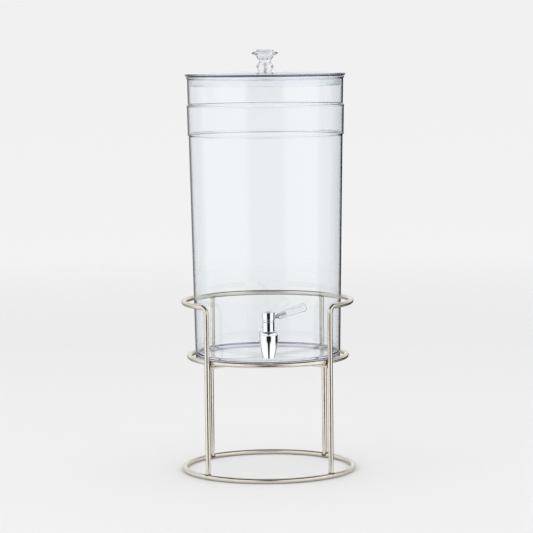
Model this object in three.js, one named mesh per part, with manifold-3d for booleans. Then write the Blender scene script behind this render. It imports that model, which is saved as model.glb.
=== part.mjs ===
// A cold-drink dispenser: a clear acrylic tank with a lever tap and a loose lid, in a stand of bent and
// welded rod. Millimetres, +Z up, the tap faces -Y, the floor is at zero height.

import * as THREE from 'three';
import { mergeVertices } from 'three/addons/utils/BufferGeometryUtils.js';
import Module from 'manifold-3d';

const wasm = await Module();
wasm.setup();

// Clearances
const WELD_GAP = 0.3; // between rods that are welded to each other
const SEAT_GAP = 0.3; // between a piece and the one it rests on or is screwed to
const RUN_GAP = 0.3; // round the valve plug in its bore, and round every shank in its hole
const SEAL_GAP = 0.2; // round an O-ring in its groove
const OVERRUN = 2; // how far a cutting shape runs past the face it cuts

// Stand
const ROD_DIAMETER = 7.4; // rings, hoop and legs
const BAR_DIAMETER = 5; // the cross under the shelf ring
const BASE_RING_RADIUS = 121.5; // centre line of the ring on the floor
const LEG_INSET = 1.1; // the legs stand this far inside the base ring's centre line
const FRONT_LEG_ANGLE = 46; // degrees from the front
const BACK_LEG_ANGLE = 44; // degrees from the back
const HOOP_HEIGHT = 244; // centre line of the open hoop round the tank
const HOOP_BEND_RADIUS = 10; // centre line of the bends from the hoop into the front legs
const SHELF_HEIGHT = 165.6; // centre line of the ring that the tank's foot sits in

// Tank
const TANK_PLAY = 5; // between the tank's foot and the shelf ring
const TANK_HEIGHT = 404.5;
const TANK_FLARE = 7.4; // how much the rim's radius is larger than the foot's
const TANK_WALL = 3;
const TANK_FLOOR = 6;
const TANK_FOOT_ROUND = 3;
const TANK_FLOOR_ROUND = 6; // inside, between floor and wall
const TANK_RIM_ROUND = 1.2; // inside
const TANK_RIM_BEAD = 1.6; // radius of the half-round bead outside, under the lid
const BAND_DROP = 41.6; // upper bead of the raised band, below the rim
const BAND_WIDTH = 40.3; // from bead to bead
const BAND_RISE = 1.4; // how far the band stands out of the wall
const BEAD_RADIUS = 1.9; // the half-round beads along the band's edges

// Tap body, measured from the crossing of its upright axis and its shank
const TAP_HEIGHT = 45.1; // shank above the tank's foot
const TAP_REACH = 30; // upright axis in front of the wall
const OUTLET_RADIUS = 8.5;
const OUTLET_DROP = 27.9; // outlet's edge below the shank
const OUTLET_BORE_RADIUS = 6.6; // at the outlet's edge
const OUTLET_THROAT_RADIUS = 5; // where the outlet's bore meets the valve
const BELL_RADIUS = 13.4;
const BELL_SHOULDER = 2.7; // height above the shank where the bell starts to close
const NECK_RADIUS = 8.7;
const NECK_FOOT = 9.5; // where the bell has closed to the neck
const NECK_TOP = 22.4;
const NECK_EDGE = 0.4;
const ARM_RADIUS = 7.4; // between bell and flange
const ARM_FLARE = 4;
const FLANGE_RADIUS = 15.3;
const FLANGE_THICKNESS = 2.6;
const FLANGE_EDGE = 2.2; // the flange's front is domed towards its edge
const SHANK_RADIUS = 7.7;
const SHANK_BORE_RADIUS = 4;
const SHANK_TAIL = 6; // how far the shank comes through the nut
const GASKET_RADIUS = 14;
const GASKET_THICKNESS = 2.5; // on the shank's axis
const NUT_ACROSS_FLATS = 24;
const NUT_THICKNESS = 8;
const NUT_CHAMFER = 1.4;

// Valve plug and handle, measured as the tap body is
const VALVE_SEAT_DROP = 14; // bottom of the valve's bore below the shank
const PLUG_RADIUS = 5.5;
const PLUG_BORE_RADIUS = 2.6;
const PORT_RADIUS = 2.9;
const ORING_SECTION = 1.5; // diameter of the ring's own section
const UPPER_GROOVE_HEIGHT = 9; // groove's middle above the shank
const LOWER_GROOVE_DROP = 9; // groove's middle below the shank
const DRIVE_WIDTH = 6; // square on top of the plug
const DRIVE_HEIGHT = 8;
const HUB_RADIUS = 9.4;
const HUB_HEIGHT = 13.4;
const HUB_FOOT_HEIGHT = 2.6; // the hub's lower part, as slim as the neck
const HUB_EDGE = 0.7;
const HUB_WEB = 2.2; // between the square socket and the screw's counterbore
const HUB_SCREW_RADIUS = 1.5;
const HUB_SCREW_LENGTH = 7.5;
const HUB_SCREW_HEAD_RADIUS = 3.6;
const HUB_SCREW_HEAD = 2.4;

// Lever, measured along its own rising axis from the tap's upright axis
const LEVER_RISE = 18.6; // degrees
const LEVER_ROOT_HEIGHT = 25.7; // where its axis meets the upright axis
const STUD_RADIUS = 2.5;
const STUD_START = 5.6;
const STUD_END = 26;
const COLLAR_START = 13;
const COLLAR_LENGTH = 1.7;
const COLLAR_RADIUS = 4.1;
const LEVER_LENGTH = 40.3;
const LEVER_ROOT_RADIUS = 5;
const LEVER_TIP_RADIUS = 6.2;
const LEVER_ROOT_EDGE = 0.7;

// Lid, measured from the tank's rim
const LID_OVERHANG = 3; // past the rim of the tank
const LID_THICKNESS = 3.9; // at the edge
const LID_EDGE_ROUND = 1.8;
const LID_PLATE = 2.6; // over the mouth
const LID_DOME_RISE = 2.3;
const LID_DOME_INSET = 10; // flat border between the lid's edge and its dome
const LID_FIT_GAP = 0.8; // between skirt and mouth
const SKIRT_WALL = 2.6;
const SKIRT_DEPTH = 13.5;
const SKIRT_EDGE_ROUND = 0.8;
const KNOB_PAD_RADIUS = 10; // flat middle of the lid
const KNOB_RADIUS = 18.9;
const KNOB_HEIGHT = 30.9;
const KNOB_SCREW_RADIUS = 1.9;
const KNOB_SCREW_REACH = 11; // into the knob
const KNOB_SCREW_HEAD_RADIUS = 4.2;
const KNOB_SCREW_HEAD = 2.6;
const KNOB_WASHER_RADIUS = 6.5;
const KNOB_WASHER_THICKNESS = 1;

// Knob's rings of corners from its foot to its table, as shares of its radius and height
const knobRingShares = [
  [0.466, 0],
  [0.593, 0.1],
  [0.66, 0.225],
  [0.593, 0.325],
  [0.45, 0.39],
  [0.455, 0.5],
  [0.607, 0.61],
  [0.71, 0.71],
  [1, 0.81],
  [1, 0.866],
  [0.667, 0.935],
  [0.603, 1],
];

// The bell's bend from outlet to widest place, as shares of its drop and of its spread
const bellLowerShares = { drop: 0.66, spread: 0.36 };
const bellUpperShares = { drop: 0.34, spread: 1 };
// Where the lever's end starts to round, as a share of its length
const leverEndShare = 0.87;
// The flat that is left on the lever's end, as a share of its radius
const leverFlatShare = 0.3;
// The lid's dome is highest to this share of its radius
const domeBendShare = 0.5;
// A screw's shank ends in a point over this share of its radius
const screwPointShare = 0.5;
// A screw head's edge is turned off over this share of its height
const screwEdgeShare = 0.33;

// Counts of faces
const RING_STEPS = 48; // round the tank, the lid and the rings
const HOOP_STEPS = 36;
const BEND_STEPS = 5;
const ROD_SIDES = 12;
const TURNED_STEPS = 24; // round the tap's pieces
const SMALL_STEPS = 16; // round screws
const EDGE_STEPS = 3; // along a rounded edge
const CURVE_STEPS = 5; // along a bend in a profile
const ORING_SIDES = 6;
const NUT_SIDES = 6;
const LEVER_SIDES = 8;
const KNOB_SIDES = 10;

const MERGE_DISTANCE = 1e-4;
const QUARTER = Math.PI / 2;
const radians = THREE.MathUtils.degToRad;

// Sizes that follow from the ones above
const legRadius = BASE_RING_RADIUS - LEG_INSET;
const hoopRadius = Math.sqrt(legRadius ** 2 - HOOP_BEND_RADIUS ** 2);
const shelfRingRadius = legRadius - ROD_DIAMETER - WELD_GAP;
const barHeight = SHELF_HEIGHT - ROD_DIAMETER / 2 - WELD_GAP - BAR_DIAMETER / 2;
const tankSeat = barHeight + BAR_DIAMETER / 2 + SEAT_GAP;
const tankFootRadius = shelfRingRadius - ROD_DIAMETER / 2 - TANK_PLAY;
const tankRimRadius = tankFootRadius + TANK_FLARE;
const wallRadius = (height) => tankFootRadius + (TANK_FLARE * height) / TANK_HEIGHT;
const mouthRadius = tankRimRadius - TANK_WALL;
const tapDistance = wallRadius(TAP_HEIGHT) + TAP_REACH;
const flangeBack = TAP_REACH - SEAT_GAP - GASKET_THICKNESS - SEAT_GAP;
const nutFace = TAP_REACH + TANK_WALL + SEAT_GAP + GASKET_THICKNESS + SEAT_GAP;
const shankEnd = nutFace + NUT_THICKNESS + SHANK_TAIL;
const valveBoreRadius = PLUG_RADIUS + RUN_GAP;
const plugBottom = SEAT_GAP - VALVE_SEAT_DROP;
const ringRadius = valveBoreRadius - SEAL_GAP - ORING_SECTION / 2;
const grooveFloor = ringRadius - ORING_SECTION / 2 - SEAL_GAP;
const grooveHalf = ORING_SECTION / 2 + SEAL_GAP;
const hubFoot = NECK_TOP + SEAT_GAP;
const hubTop = hubFoot + HUB_HEIGHT;
const socketTop = NECK_TOP + DRIVE_HEIGHT + SEAT_GAP;
const counterboreFloor = socketTop + HUB_WEB;
const leverStart = COLLAR_START + COLLAR_LENGTH + SEAT_GAP;
const lidTop = SEAT_GAP + LID_THICKNESS;
const padHeight = lidTop + LID_DOME_RISE;
const lidRadius = tankRimRadius + LID_OVERHANG;
const knobScrewHole = KNOB_SCREW_RADIUS + RUN_GAP;
const footprintBack = BASE_RING_RADIUS + ROD_DIAMETER / 2;
const footprintFront = tapDistance + BELL_RADIUS;

// Materials
const nickel = new THREE.MeshStandardMaterial({ color: 0xc6bfb2, roughness: 0.34, metalness: 1 });
const chrome = new THREE.MeshStandardMaterial({ color: 0xe6e8ea, roughness: 0.06, metalness: 1 });
const steel = new THREE.MeshStandardMaterial({ color: 0xb9bcbf, roughness: 0.28, metalness: 1 });
const silicone = new THREE.MeshStandardMaterial({ color: 0xe4e6e6, roughness: 0.55, metalness: 0 });
const rubber = new THREE.MeshStandardMaterial({ color: 0x1d1e20, roughness: 0.6, metalness: 0 });
const nylon = new THREE.MeshStandardMaterial({ color: 0xeeeeea, roughness: 0.4, metalness: 0 });
const acrylic = new THREE.MeshStandardMaterial({
  color: 0xe2e9f0,
  roughness: 0.03,
  metalness: 0,
  transparent: true,
  opacity: 0.35,
});

// A closed mesh of shared corners, without collapsed triangles, its faces pointing out.
function closed(geometry) {
  const bare = geometry.clone();
  bare.deleteAttribute('normal');
  bare.deleteAttribute('uv');
  const merged = mergeVertices(bare, MERGE_DISTANCE);
  const places = merged.attributes.position;
  const corner = [new THREE.Vector3(), new THREE.Vector3(), new THREE.Vector3()];
  const kept = [];
  let volume = 0;
  for (let first = 0; first < merged.index.count; first += 3) {
    const triangle = [0, 1, 2].map((step) => merged.index.getX(first + step));
    if (new Set(triangle).size === 3) {
      kept.push(...triangle);
      triangle.forEach((place, step) => corner[step].fromBufferAttribute(places, place));
      volume += corner[0].dot(corner[1].cross(corner[2]));
    }
  }
  merged.setIndex(volume < 0 ? kept.reverse() : kept);
  return merged;
}

function solid(geometry) {
  const mesh = closed(geometry);
  return new wasm.Manifold(new wasm.Mesh({
    numProp: 3,
    vertProperties: Float32Array.from(mesh.attributes.position.array),
    triVerts: Uint32Array.from(mesh.index.array),
  }));
}

function geometryOf(body) {
  const mesh = body.getMesh();
  const geometry = new THREE.BufferGeometry();
  geometry.setAttribute('position', new THREE.BufferAttribute(mesh.vertProperties, 3));
  geometry.setIndex(new THREE.BufferAttribute(mesh.triVerts, 1));
  return geometry;
}

function cut(base, ...tools) {
  return geometryOf(tools.reduce((body, tool) => body.subtract(solid(tool)), solid(base)));
}

function join(base, ...others) {
  return geometryOf(others.reduce((body, other) => body.add(solid(other)), solid(base)));
}

function common(base, tool) {
  return geometryOf(solid(base).intersect(solid(tool)));
}

// A point of a turned profile: its radius, and its place along the axis.
const at = (radius, along) => new THREE.Vector2(radius, along);

// A rounded edge of a turned profile, from one angle to another in degrees.
function round(centreRadius, centreAlong, radius, from, to) {
  const clockwise = to < from;
  const arc = new THREE.EllipseCurve(
    centreRadius, centreAlong, radius, radius, radians(from), radians(to), clockwise,
  );
  return arc.getPoints(EDGE_STEPS);
}

// Turned about Y, X or Z.
const turnedY = (profile, steps = TURNED_STEPS, start = 0) => (
  new THREE.LatheGeometry(profile, steps, start)
);
const turnedX = (profile, steps, start) => turnedY(profile, steps, start).rotateZ(-QUARTER);
const turnedZ = (profile, steps, start) => turnedY(profile, steps, start).rotateX(QUARTER);

// A straight round bar between two places on the axis of a turned shape.
const barProfile = (radius, from, to) => [at(0, from), at(radius, from), at(radius, to), at(0, to)];

// A washer or sleeve between two places on its axis, as a profile that closes on itself.
const sleeveProfile = (inner, outer, from, to) => [
  at(inner, from), at(outer, from), at(outer, to), at(inner, to), at(inner, from),
];

// A named piece of the object.
function piece(name, geometry, material) {
  const mesh = new THREE.Mesh(closed(geometry), material);
  mesh.name = name;
  return mesh;
}

// The section of a rod, its flats on the true round, one of them underneath.
function rodSection(diameter) {
  const reach = diameter / 2 / Math.cos(Math.PI / ROD_SIDES);
  return Array.from({ length: ROD_SIDES }, (_, side) => {
    const angle = ((side + 1 / 2) / ROD_SIDES) * 2 * Math.PI;
    return new THREE.Vector2(reach * Math.cos(angle), reach * Math.sin(angle));
  });
}

// A closed ring of rod, flat underneath.
function rodRing(radius, diameter, height) {
  const section = rodSection(diameter).map((point) => at(radius + point.x, point.y));
  return turnedZ([...section, section[0].clone()], RING_STEPS).translate(0, 0, height);
}

// A straight rod between two places at one height, a flat of its section on top.
function levelRod(start, end, diameter) {
  const run = new THREE.Vector3().subVectors(end, start);
  const middle = new THREE.Vector3().addVectors(start, end).multiplyScalar(1 / 2);
  const halfSide = Math.PI / ROD_SIDES;
  const reach = diameter / 2 / Math.cos(halfSide);
  const rod = new THREE.CylinderGeometry(reach, reach, run.length(), ROD_SIDES, 1, false, halfSide);
  return rod.rotateZ(Math.atan2(run.y, run.x) - QUARTER).translate(middle.x, middle.y, middle.z);
}

// An upright rod on a place of the floor plan.
function uprightRod(place, from, to, diameter) {
  const reach = diameter / 2 / Math.cos(Math.PI / ROD_SIDES);
  const rod = new THREE.CylinderGeometry(reach, reach, to - from, ROD_SIDES);
  return rod.rotateX(QUARTER).translate(place.x, place.y, (from + to) / 2);
}

// A bent rod's centre line through given stations, with one step of the sweep for each run between them.
class StationPath extends THREE.Curve {
  constructor(stations) {
    super();
    this.stations = stations;
    this.steps = stations.length - 1;
  }

  getPoint(share, target = new THREE.Vector3()) {
    const along = share * this.steps;
    const before = Math.min(Math.floor(along), this.steps - 1);
    return target.lerpVectors(this.stations[before], this.stations[before + 1], along - before);
  }

  getPointAt(share, target) {
    return this.getPoint(share, target);
  }

  getTangentAt(share, target = new THREE.Vector3()) {
    const here = Math.round(share * this.steps);
    const into = this.direction(Math.max(here - 1, 0));
    const out = this.direction(Math.min(here, this.steps - 1));
    return target.addVectors(into, out).normalize();
  }

  direction(step) {
    return new THREE.Vector3().subVectors(this.stations[step + 1], this.stations[step]).normalize();
  }
}

// Stations along an arc about a centre, from one angle to another, in the plane of two directions.
function arcStations(centre, radius, across, up, from, to, steps) {
  return Array.from({ length: steps + 1 }, (_, step) => {
    const angle = THREE.MathUtils.lerp(from, to, step / steps);
    return centre.clone()
      .addScaledVector(across, radius * Math.cos(angle))
      .addScaledVector(up, radius * Math.sin(angle));
  });
}

// A place on a circle of the floor plan, by its angle from the front towards +X.
const planPlace = (radius, angle, height) => new THREE.Vector3(
  radius * Math.sin(angle), -radius * Math.cos(angle), height,
);

const frontLegPlace = (side) => planPlace(legRadius, side * radians(FRONT_LEG_ANGLE), barHeight);
const backLegPlace = (side) => (
  planPlace(legRadius, side * (Math.PI - radians(BACK_LEG_ANGLE)), barHeight)
);

// Clearance shapes that cope a rod's end to the rod it is welded to.
const baseRingCope = () => rodRing(BASE_RING_RADIUS, ROD_DIAMETER + 2 * WELD_GAP, ROD_DIAMETER / 2);
const hoopCope = () => rodRing(hoopRadius, ROD_DIAMETER + 2 * WELD_GAP, HOOP_HEIGHT);
const legCope = (place) => uprightRod(
  place, barHeight - ROD_DIAMETER, barHeight + ROD_DIAMETER, ROD_DIAMETER + 2 * WELD_GAP,
);

// One rod: up a front leg, over a bend, round the back of the tank and down the other front leg.
function guardHoop() {
  const up = new THREE.Vector3(0, 0, 1);
  const endAngle = radians(FRONT_LEG_ANGLE) + Math.atan(HOOP_BEND_RADIUS / hoopRadius);
  const legAndBend = (side) => {
    const angle = side * endAngle;
    const towardsLeg = new THREE.Vector3(-side * Math.cos(angle), -side * Math.sin(angle), 0);
    const centre = planPlace(hoopRadius, angle, HOOP_HEIGHT - HOOP_BEND_RADIUS);
    const bend = arcStations(centre, HOOP_BEND_RADIUS, towardsLeg, up, 0, QUARTER, BEND_STEPS);
    const foot = bend[0].clone().setZ(ROD_DIAMETER / 2);
    return [foot, ...bend];
  };
  const round = Array.from({ length: HOOP_STEPS - 1 }, (_, step) => {
    const share = (step + 1) / HOOP_STEPS;
    const angle = THREE.MathUtils.lerp(endAngle, 2 * Math.PI - endAngle, share);
    return planPlace(hoopRadius, -angle, HOOP_HEIGHT);
  });
  const path = new StationPath([...legAndBend(-1), ...round, ...legAndBend(1).reverse()]);
  const shape = new THREE.Shape(rodSection(ROD_DIAMETER));
  const sweep = { steps: path.steps, extrudePath: path, bevelEnabled: false };
  return cut(new THREE.ExtrudeGeometry(shape, sweep), baseRingCope());
}

function backLeg(side) {
  const leg = uprightRod(backLegPlace(side), ROD_DIAMETER / 2, HOOP_HEIGHT, ROD_DIAMETER);
  return cut(leg, baseRingCope(), hoopCope());
}

// The cross: one whole bar from leg to leg, and two halves that meet it where the bars cross.
function crossBars() {
  const [start, end] = [frontLegPlace(-1), backLegPlace(1)];
  const whole = cut(levelRod(start, end, BAR_DIAMETER), legCope(start), legCope(end));
  const crossing = start.clone().lerp(end, -start.x / (end.x - start.x));
  const wholeCope = levelRod(start, end, BAR_DIAMETER + 2 * WELD_GAP);
  const half = (place) => cut(levelRod(crossing, place, BAR_DIAMETER), legCope(place), wholeCope);
  return [
    piece('cross_bar', whole, nickel),
    piece('cross_bar_front_half', half(frontLegPlace(1)), nickel),
    piece('cross_bar_back_half', half(backLegPlace(-1)), nickel),
  ];
}

function stand() {
  const group = new THREE.Group();
  group.add(
    piece('base_ring', rodRing(BASE_RING_RADIUS, ROD_DIAMETER, ROD_DIAMETER / 2), nickel),
    piece('guard_hoop', guardHoop(), nickel),
    piece('back_leg_left', backLeg(-1), nickel),
    piece('back_leg_right', backLeg(1), nickel),
    piece('shelf_ring', rodRing(shelfRingRadius, ROD_DIAMETER, SHELF_HEIGHT), nickel),
    ...crossBars(),
  );
  return group;
}

// The tank is one moulding: a drafted wall with a beaded rim, a raised band between two beads, and a
// thick floor.
function tankShell() {
  const bandTop = TANK_HEIGHT - BAND_DROP;
  const bandBottom = bandTop - BAND_WIDTH;
  const beadMeet = THREE.MathUtils.radToDeg(Math.acos(BAND_RISE / BEAD_RADIUS));
  const fillet = TANK_FLOOR + TANK_FLOOR_ROUND;
  const shell = turnedZ([
    at(0, 0),
    ...round(wallRadius(TANK_FOOT_ROUND) - TANK_FOOT_ROUND, TANK_FOOT_ROUND, TANK_FOOT_ROUND, -90, 0),
    ...round(wallRadius(bandBottom), bandBottom, BEAD_RADIUS, -90, beadMeet),
    ...round(wallRadius(bandTop), bandTop, BEAD_RADIUS, -beadMeet, 90),
    ...round(tankRimRadius, TANK_HEIGHT - TANK_RIM_BEAD, TANK_RIM_BEAD, -90, 90),
    ...round(mouthRadius + TANK_RIM_ROUND, TANK_HEIGHT - TANK_RIM_ROUND, TANK_RIM_ROUND, 90, 180),
    ...round(wallRadius(fillet) - TANK_WALL - TANK_FLOOR_ROUND, fillet, TANK_FLOOR_ROUND, 0, -90),
    at(0, TANK_FLOOR),
  ], RING_STEPS);
  const wallBack = TANK_WALL + TANK_FLOOR;
  const tapHole = turnedY(barProfile(SHANK_RADIUS + RUN_GAP, TAP_REACH - OVERRUN, TAP_REACH + wallBack));
  return cut(shell, tapHole.translate(0, -tapDistance, TAP_HEIGHT));
}

// The outer or inner face of the tank's wall as a solid, measured from the tap, moved by an offset.
function wallFace(offset) {
  const face = turnedZ([
    at(0, 0),
    at(wallRadius(0) + offset, 0),
    at(wallRadius(TANK_HEIGHT) + offset, TANK_HEIGHT),
    at(0, TANK_HEIGHT),
  ], RING_STEPS);
  return face.translate(0, tapDistance, -TAP_HEIGHT);
}

// Bell, neck, arm, flange and shank in one, bored from above for the plug and from behind for the drink.
function tapBody() {
  const spread = BELL_RADIUS - OUTLET_RADIUS;
  const bellBend = new THREE.CubicBezierCurve(
    at(OUTLET_RADIUS, -OUTLET_DROP),
    at(OUTLET_RADIUS + spread * bellLowerShares.spread, -OUTLET_DROP * bellLowerShares.drop),
    at(OUTLET_RADIUS + spread * bellUpperShares.spread, -OUTLET_DROP * bellUpperShares.drop),
    at(BELL_RADIUS, 0),
  );
  const shoulder = new THREE.QuadraticBezierCurve(
    at(BELL_RADIUS, BELL_SHOULDER), at(BELL_RADIUS, NECK_FOOT), at(NECK_RADIUS, NECK_FOOT),
  );
  const bell = turnedZ([
    at(0, -OUTLET_DROP),
    ...bellBend.getPoints(CURVE_STEPS),
    ...shoulder.getPoints(CURVE_STEPS),
    at(NECK_RADIUS, NECK_TOP - NECK_EDGE),
    at(NECK_RADIUS - NECK_EDGE, NECK_TOP),
    at(0, NECK_TOP),
  ]);
  const flangeFront = flangeBack - FLANGE_THICKNESS;
  const arm = turnedY([
    at(0, 0),
    at(ARM_RADIUS, 0),
    ...round(ARM_RADIUS + ARM_FLARE, flangeFront - ARM_FLARE, ARM_FLARE, 180, 90),
    ...round(FLANGE_RADIUS - FLANGE_EDGE, flangeFront + FLANGE_EDGE, FLANGE_EDGE, -90, 0),
    at(FLANGE_RADIUS, flangeBack),
    at(SHANK_RADIUS, flangeBack),
    at(SHANK_RADIUS, shankEnd),
    at(0, shankEnd),
  ]);
  const valveBore = turnedZ([
    at(0, -OUTLET_DROP - OVERRUN),
    at(OUTLET_BORE_RADIUS, -OUTLET_DROP - OVERRUN),
    at(OUTLET_BORE_RADIUS, -OUTLET_DROP),
    at(OUTLET_THROAT_RADIUS, -VALVE_SEAT_DROP),
    at(valveBoreRadius, -VALVE_SEAT_DROP),
    at(valveBoreRadius, NECK_TOP + OVERRUN),
    at(0, NECK_TOP + OVERRUN),
  ]);
  const shankBore = turnedY(barProfile(SHANK_BORE_RADIUS, 0, shankEnd + OVERRUN));
  return cut(join(bell, arm), valveBore, shankBore);
}

function outerGasket() {
  const hole = SHANK_RADIUS + RUN_GAP;
  const front = flangeBack + SEAT_GAP;
  const disc = turnedY(sleeveProfile(hole, GASKET_RADIUS, front, TAP_REACH + GASKET_THICKNESS));
  return cut(disc, wallFace(SEAT_GAP));
}

function innerGasket() {
  const hole = SHANK_RADIUS + RUN_GAP;
  const disc = turnedY(sleeveProfile(hole, GASKET_RADIUS, TAP_REACH, nutFace - SEAT_GAP));
  return common(disc, wallFace(-TANK_WALL - SEAT_GAP));
}

// A hexagon with its corners turned off on both faces.
function shankNut() {
  const corner = NUT_ACROSS_FLATS / 2 / Math.cos(Math.PI / NUT_SIDES);
  const end = nutFace + NUT_THICKNESS;
  const bore = SHANK_RADIUS + RUN_GAP;
  const blank = turnedY([
    at(0, nutFace),
    at(corner - NUT_CHAMFER, nutFace),
    at(corner, nutFace + NUT_CHAMFER / 2),
    at(corner, end - NUT_CHAMFER / 2),
    at(corner - NUT_CHAMFER, end),
    at(0, end),
  ]);
  const outline = turnedY(barProfile(corner, nutFace, end), NUT_SIDES);
  return cut(common(outline, blank), turnedY(barProfile(bore, nutFace - OVERRUN, end + OVERRUN)));
}

// Plug: two ring grooves, a square drive on top, a blind bore from below and a port to one side.
function valvePlug() {
  const groove = (middle) => [
    at(PLUG_RADIUS, middle - grooveHalf),
    at(grooveFloor, middle - grooveHalf),
    at(grooveFloor, middle + grooveHalf),
    at(PLUG_RADIUS, middle + grooveHalf),
  ];
  const turnedPlug = turnedZ([
    at(0, plugBottom),
    at(PLUG_RADIUS, plugBottom),
    ...groove(-LOWER_GROOVE_DROP),
    ...groove(UPPER_GROOVE_HEIGHT),
    at(PLUG_RADIUS, NECK_TOP),
    at(0, NECK_TOP),
  ]);
  const drive = new THREE.BoxGeometry(DRIVE_WIDTH, DRIVE_WIDTH, 2 * DRIVE_HEIGHT);
  drive.translate(0, 0, NECK_TOP);
  const bore = turnedZ(barProfile(PLUG_BORE_RADIUS, plugBottom - OVERRUN, PORT_RADIUS), SMALL_STEPS);
  const port = turnedX(barProfile(PORT_RADIUS, -PLUG_RADIUS - OVERRUN, 0), SMALL_STEPS);
  const driveTop = NECK_TOP + DRIVE_HEIGHT;
  const screwHole = turnedZ(
    barProfile(HUB_SCREW_RADIUS + RUN_GAP, NECK_TOP - OVERRUN, driveTop + OVERRUN), SMALL_STEPS,
  );
  return cut(join(turnedPlug, drive), bore, port, screwHole);
}

function oRing(height) {
  const ring = new THREE.TorusGeometry(ringRadius, ORING_SECTION / 2, ORING_SIDES, TURNED_STEPS);
  return ring.translate(0, 0, height);
}

// The tilt of the lever's axis about the tap's upright axis.
const onLeverAxis = (geometry) => (
  geometry.rotateY(-radians(LEVER_RISE)).translate(0, 0, LEVER_ROOT_HEIGHT)
);

function tapHub() {
  const blank = turnedZ([
    at(0, hubFoot),
    at(NECK_RADIUS, hubFoot),
    at(NECK_RADIUS, hubFoot + HUB_FOOT_HEIGHT),
    at(HUB_RADIUS, hubFoot + HUB_FOOT_HEIGHT + HUB_EDGE),
    ...round(HUB_RADIUS - HUB_EDGE, hubTop - HUB_EDGE, HUB_EDGE, 0, 90),
    at(0, hubTop),
  ]);
  const socketWidth = DRIVE_WIDTH + 2 * RUN_GAP;
  const socketDepth = socketTop - hubFoot + OVERRUN;
  const socket = new THREE.BoxGeometry(socketWidth, socketWidth, socketDepth);
  socket.translate(0, 0, socketTop - socketDepth / 2);
  const screwHole = turnedZ([
    at(0, hubFoot),
    at(HUB_SCREW_RADIUS + RUN_GAP, hubFoot),
    at(HUB_SCREW_RADIUS + RUN_GAP, counterboreFloor),
    at(HUB_SCREW_HEAD_RADIUS + RUN_GAP, counterboreFloor),
    at(HUB_SCREW_HEAD_RADIUS + RUN_GAP, hubTop + OVERRUN),
    at(0, hubTop + OVERRUN),
  ], SMALL_STEPS);
  const studHole = turnedX(
    barProfile(STUD_RADIUS + RUN_GAP, STUD_START - SEAT_GAP, COLLAR_START), SMALL_STEPS,
  );
  return cut(blank, socket, screwHole, onLeverAxis(studHole));
}

// A screw about Z: a head that bears at one height, and a pointed shank that runs up or down from it.
function screw(radius, length, headRadius, headHeight, bearing, way) {
  const point = radius * screwPointShare;
  const edge = headHeight * screwEdgeShare;
  return turnedZ([
    at(0, bearing - way * headHeight),
    at(headRadius - edge, bearing - way * headHeight),
    at(headRadius, bearing - way * (headHeight - edge)),
    at(headRadius, bearing),
    at(radius, bearing),
    at(radius, bearing + way * (length - point)),
    at(point, bearing + way * length),
    at(0, bearing + way * length),
  ], SMALL_STEPS);
}

function leverStud() {
  const collarEnd = COLLAR_START + COLLAR_LENGTH;
  const stud = turnedX([
    at(0, STUD_START),
    at(STUD_RADIUS, STUD_START),
    at(STUD_RADIUS, COLLAR_START),
    at(COLLAR_RADIUS, COLLAR_START),
    at(COLLAR_RADIUS, collarEnd),
    at(STUD_RADIUS, collarEnd),
    at(STUD_RADIUS, STUD_END),
    at(0, STUD_END),
  ], SMALL_STEPS);
  return onLeverAxis(stud);
}

// Eight flats that spread towards a domed end, bored at the root for the stud.
function tapLever() {
  const end = leverStart + LEVER_LENGTH;
  const roundStart = leverStart + LEVER_LENGTH * leverEndShare;
  const tipRound = new THREE.QuadraticBezierCurve(
    at(LEVER_TIP_RADIUS, roundStart),
    at(LEVER_TIP_RADIUS, end),
    at(LEVER_TIP_RADIUS * leverFlatShare, end),
  );
  const flutes = turnedX([
    at(0, leverStart),
    at(LEVER_ROOT_RADIUS - LEVER_ROOT_EDGE, leverStart),
    at(LEVER_ROOT_RADIUS, leverStart + LEVER_ROOT_EDGE),
    ...tipRound.getPoints(EDGE_STEPS),
    at(0, end),
  ], LEVER_SIDES, Math.PI / LEVER_SIDES);
  const bore = turnedX(
    barProfile(STUD_RADIUS + RUN_GAP, leverStart - OVERRUN, STUD_END + SEAT_GAP), SMALL_STEPS,
  );
  return onLeverAxis(cut(flutes, bore));
}

function tapHandle() {
  const group = new THREE.Group();
  const screwPlace = counterboreFloor + SEAT_GAP;
  const hubScrew = screw(
    HUB_SCREW_RADIUS, HUB_SCREW_LENGTH, HUB_SCREW_HEAD_RADIUS, HUB_SCREW_HEAD, screwPlace, -1,
  );
  group.add(
    piece('valve_plug', valvePlug(), nylon),
    piece('upper_o_ring', oRing(UPPER_GROOVE_HEIGHT), rubber),
    piece('lower_o_ring', oRing(-LOWER_GROOVE_DROP), rubber),
    piece('tap_hub', tapHub(), chrome),
    piece('hub_screw', hubScrew, steel),
    piece('lever_stud', leverStud(), chrome),
    piece('tap_lever', tapLever(), acrylic),
  );
  return group;
}

function tap() {
  const group = new THREE.Group();
  group.add(
    piece('tap_body', tapBody(), chrome),
    piece('outer_gasket', outerGasket(), silicone),
    piece('inner_gasket', innerGasket(), silicone),
    piece('shank_nut', shankNut(), steel),
    tapHandle(),
  );
  group.position.set(0, -tapDistance, TAP_HEIGHT);
  return group;
}

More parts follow.
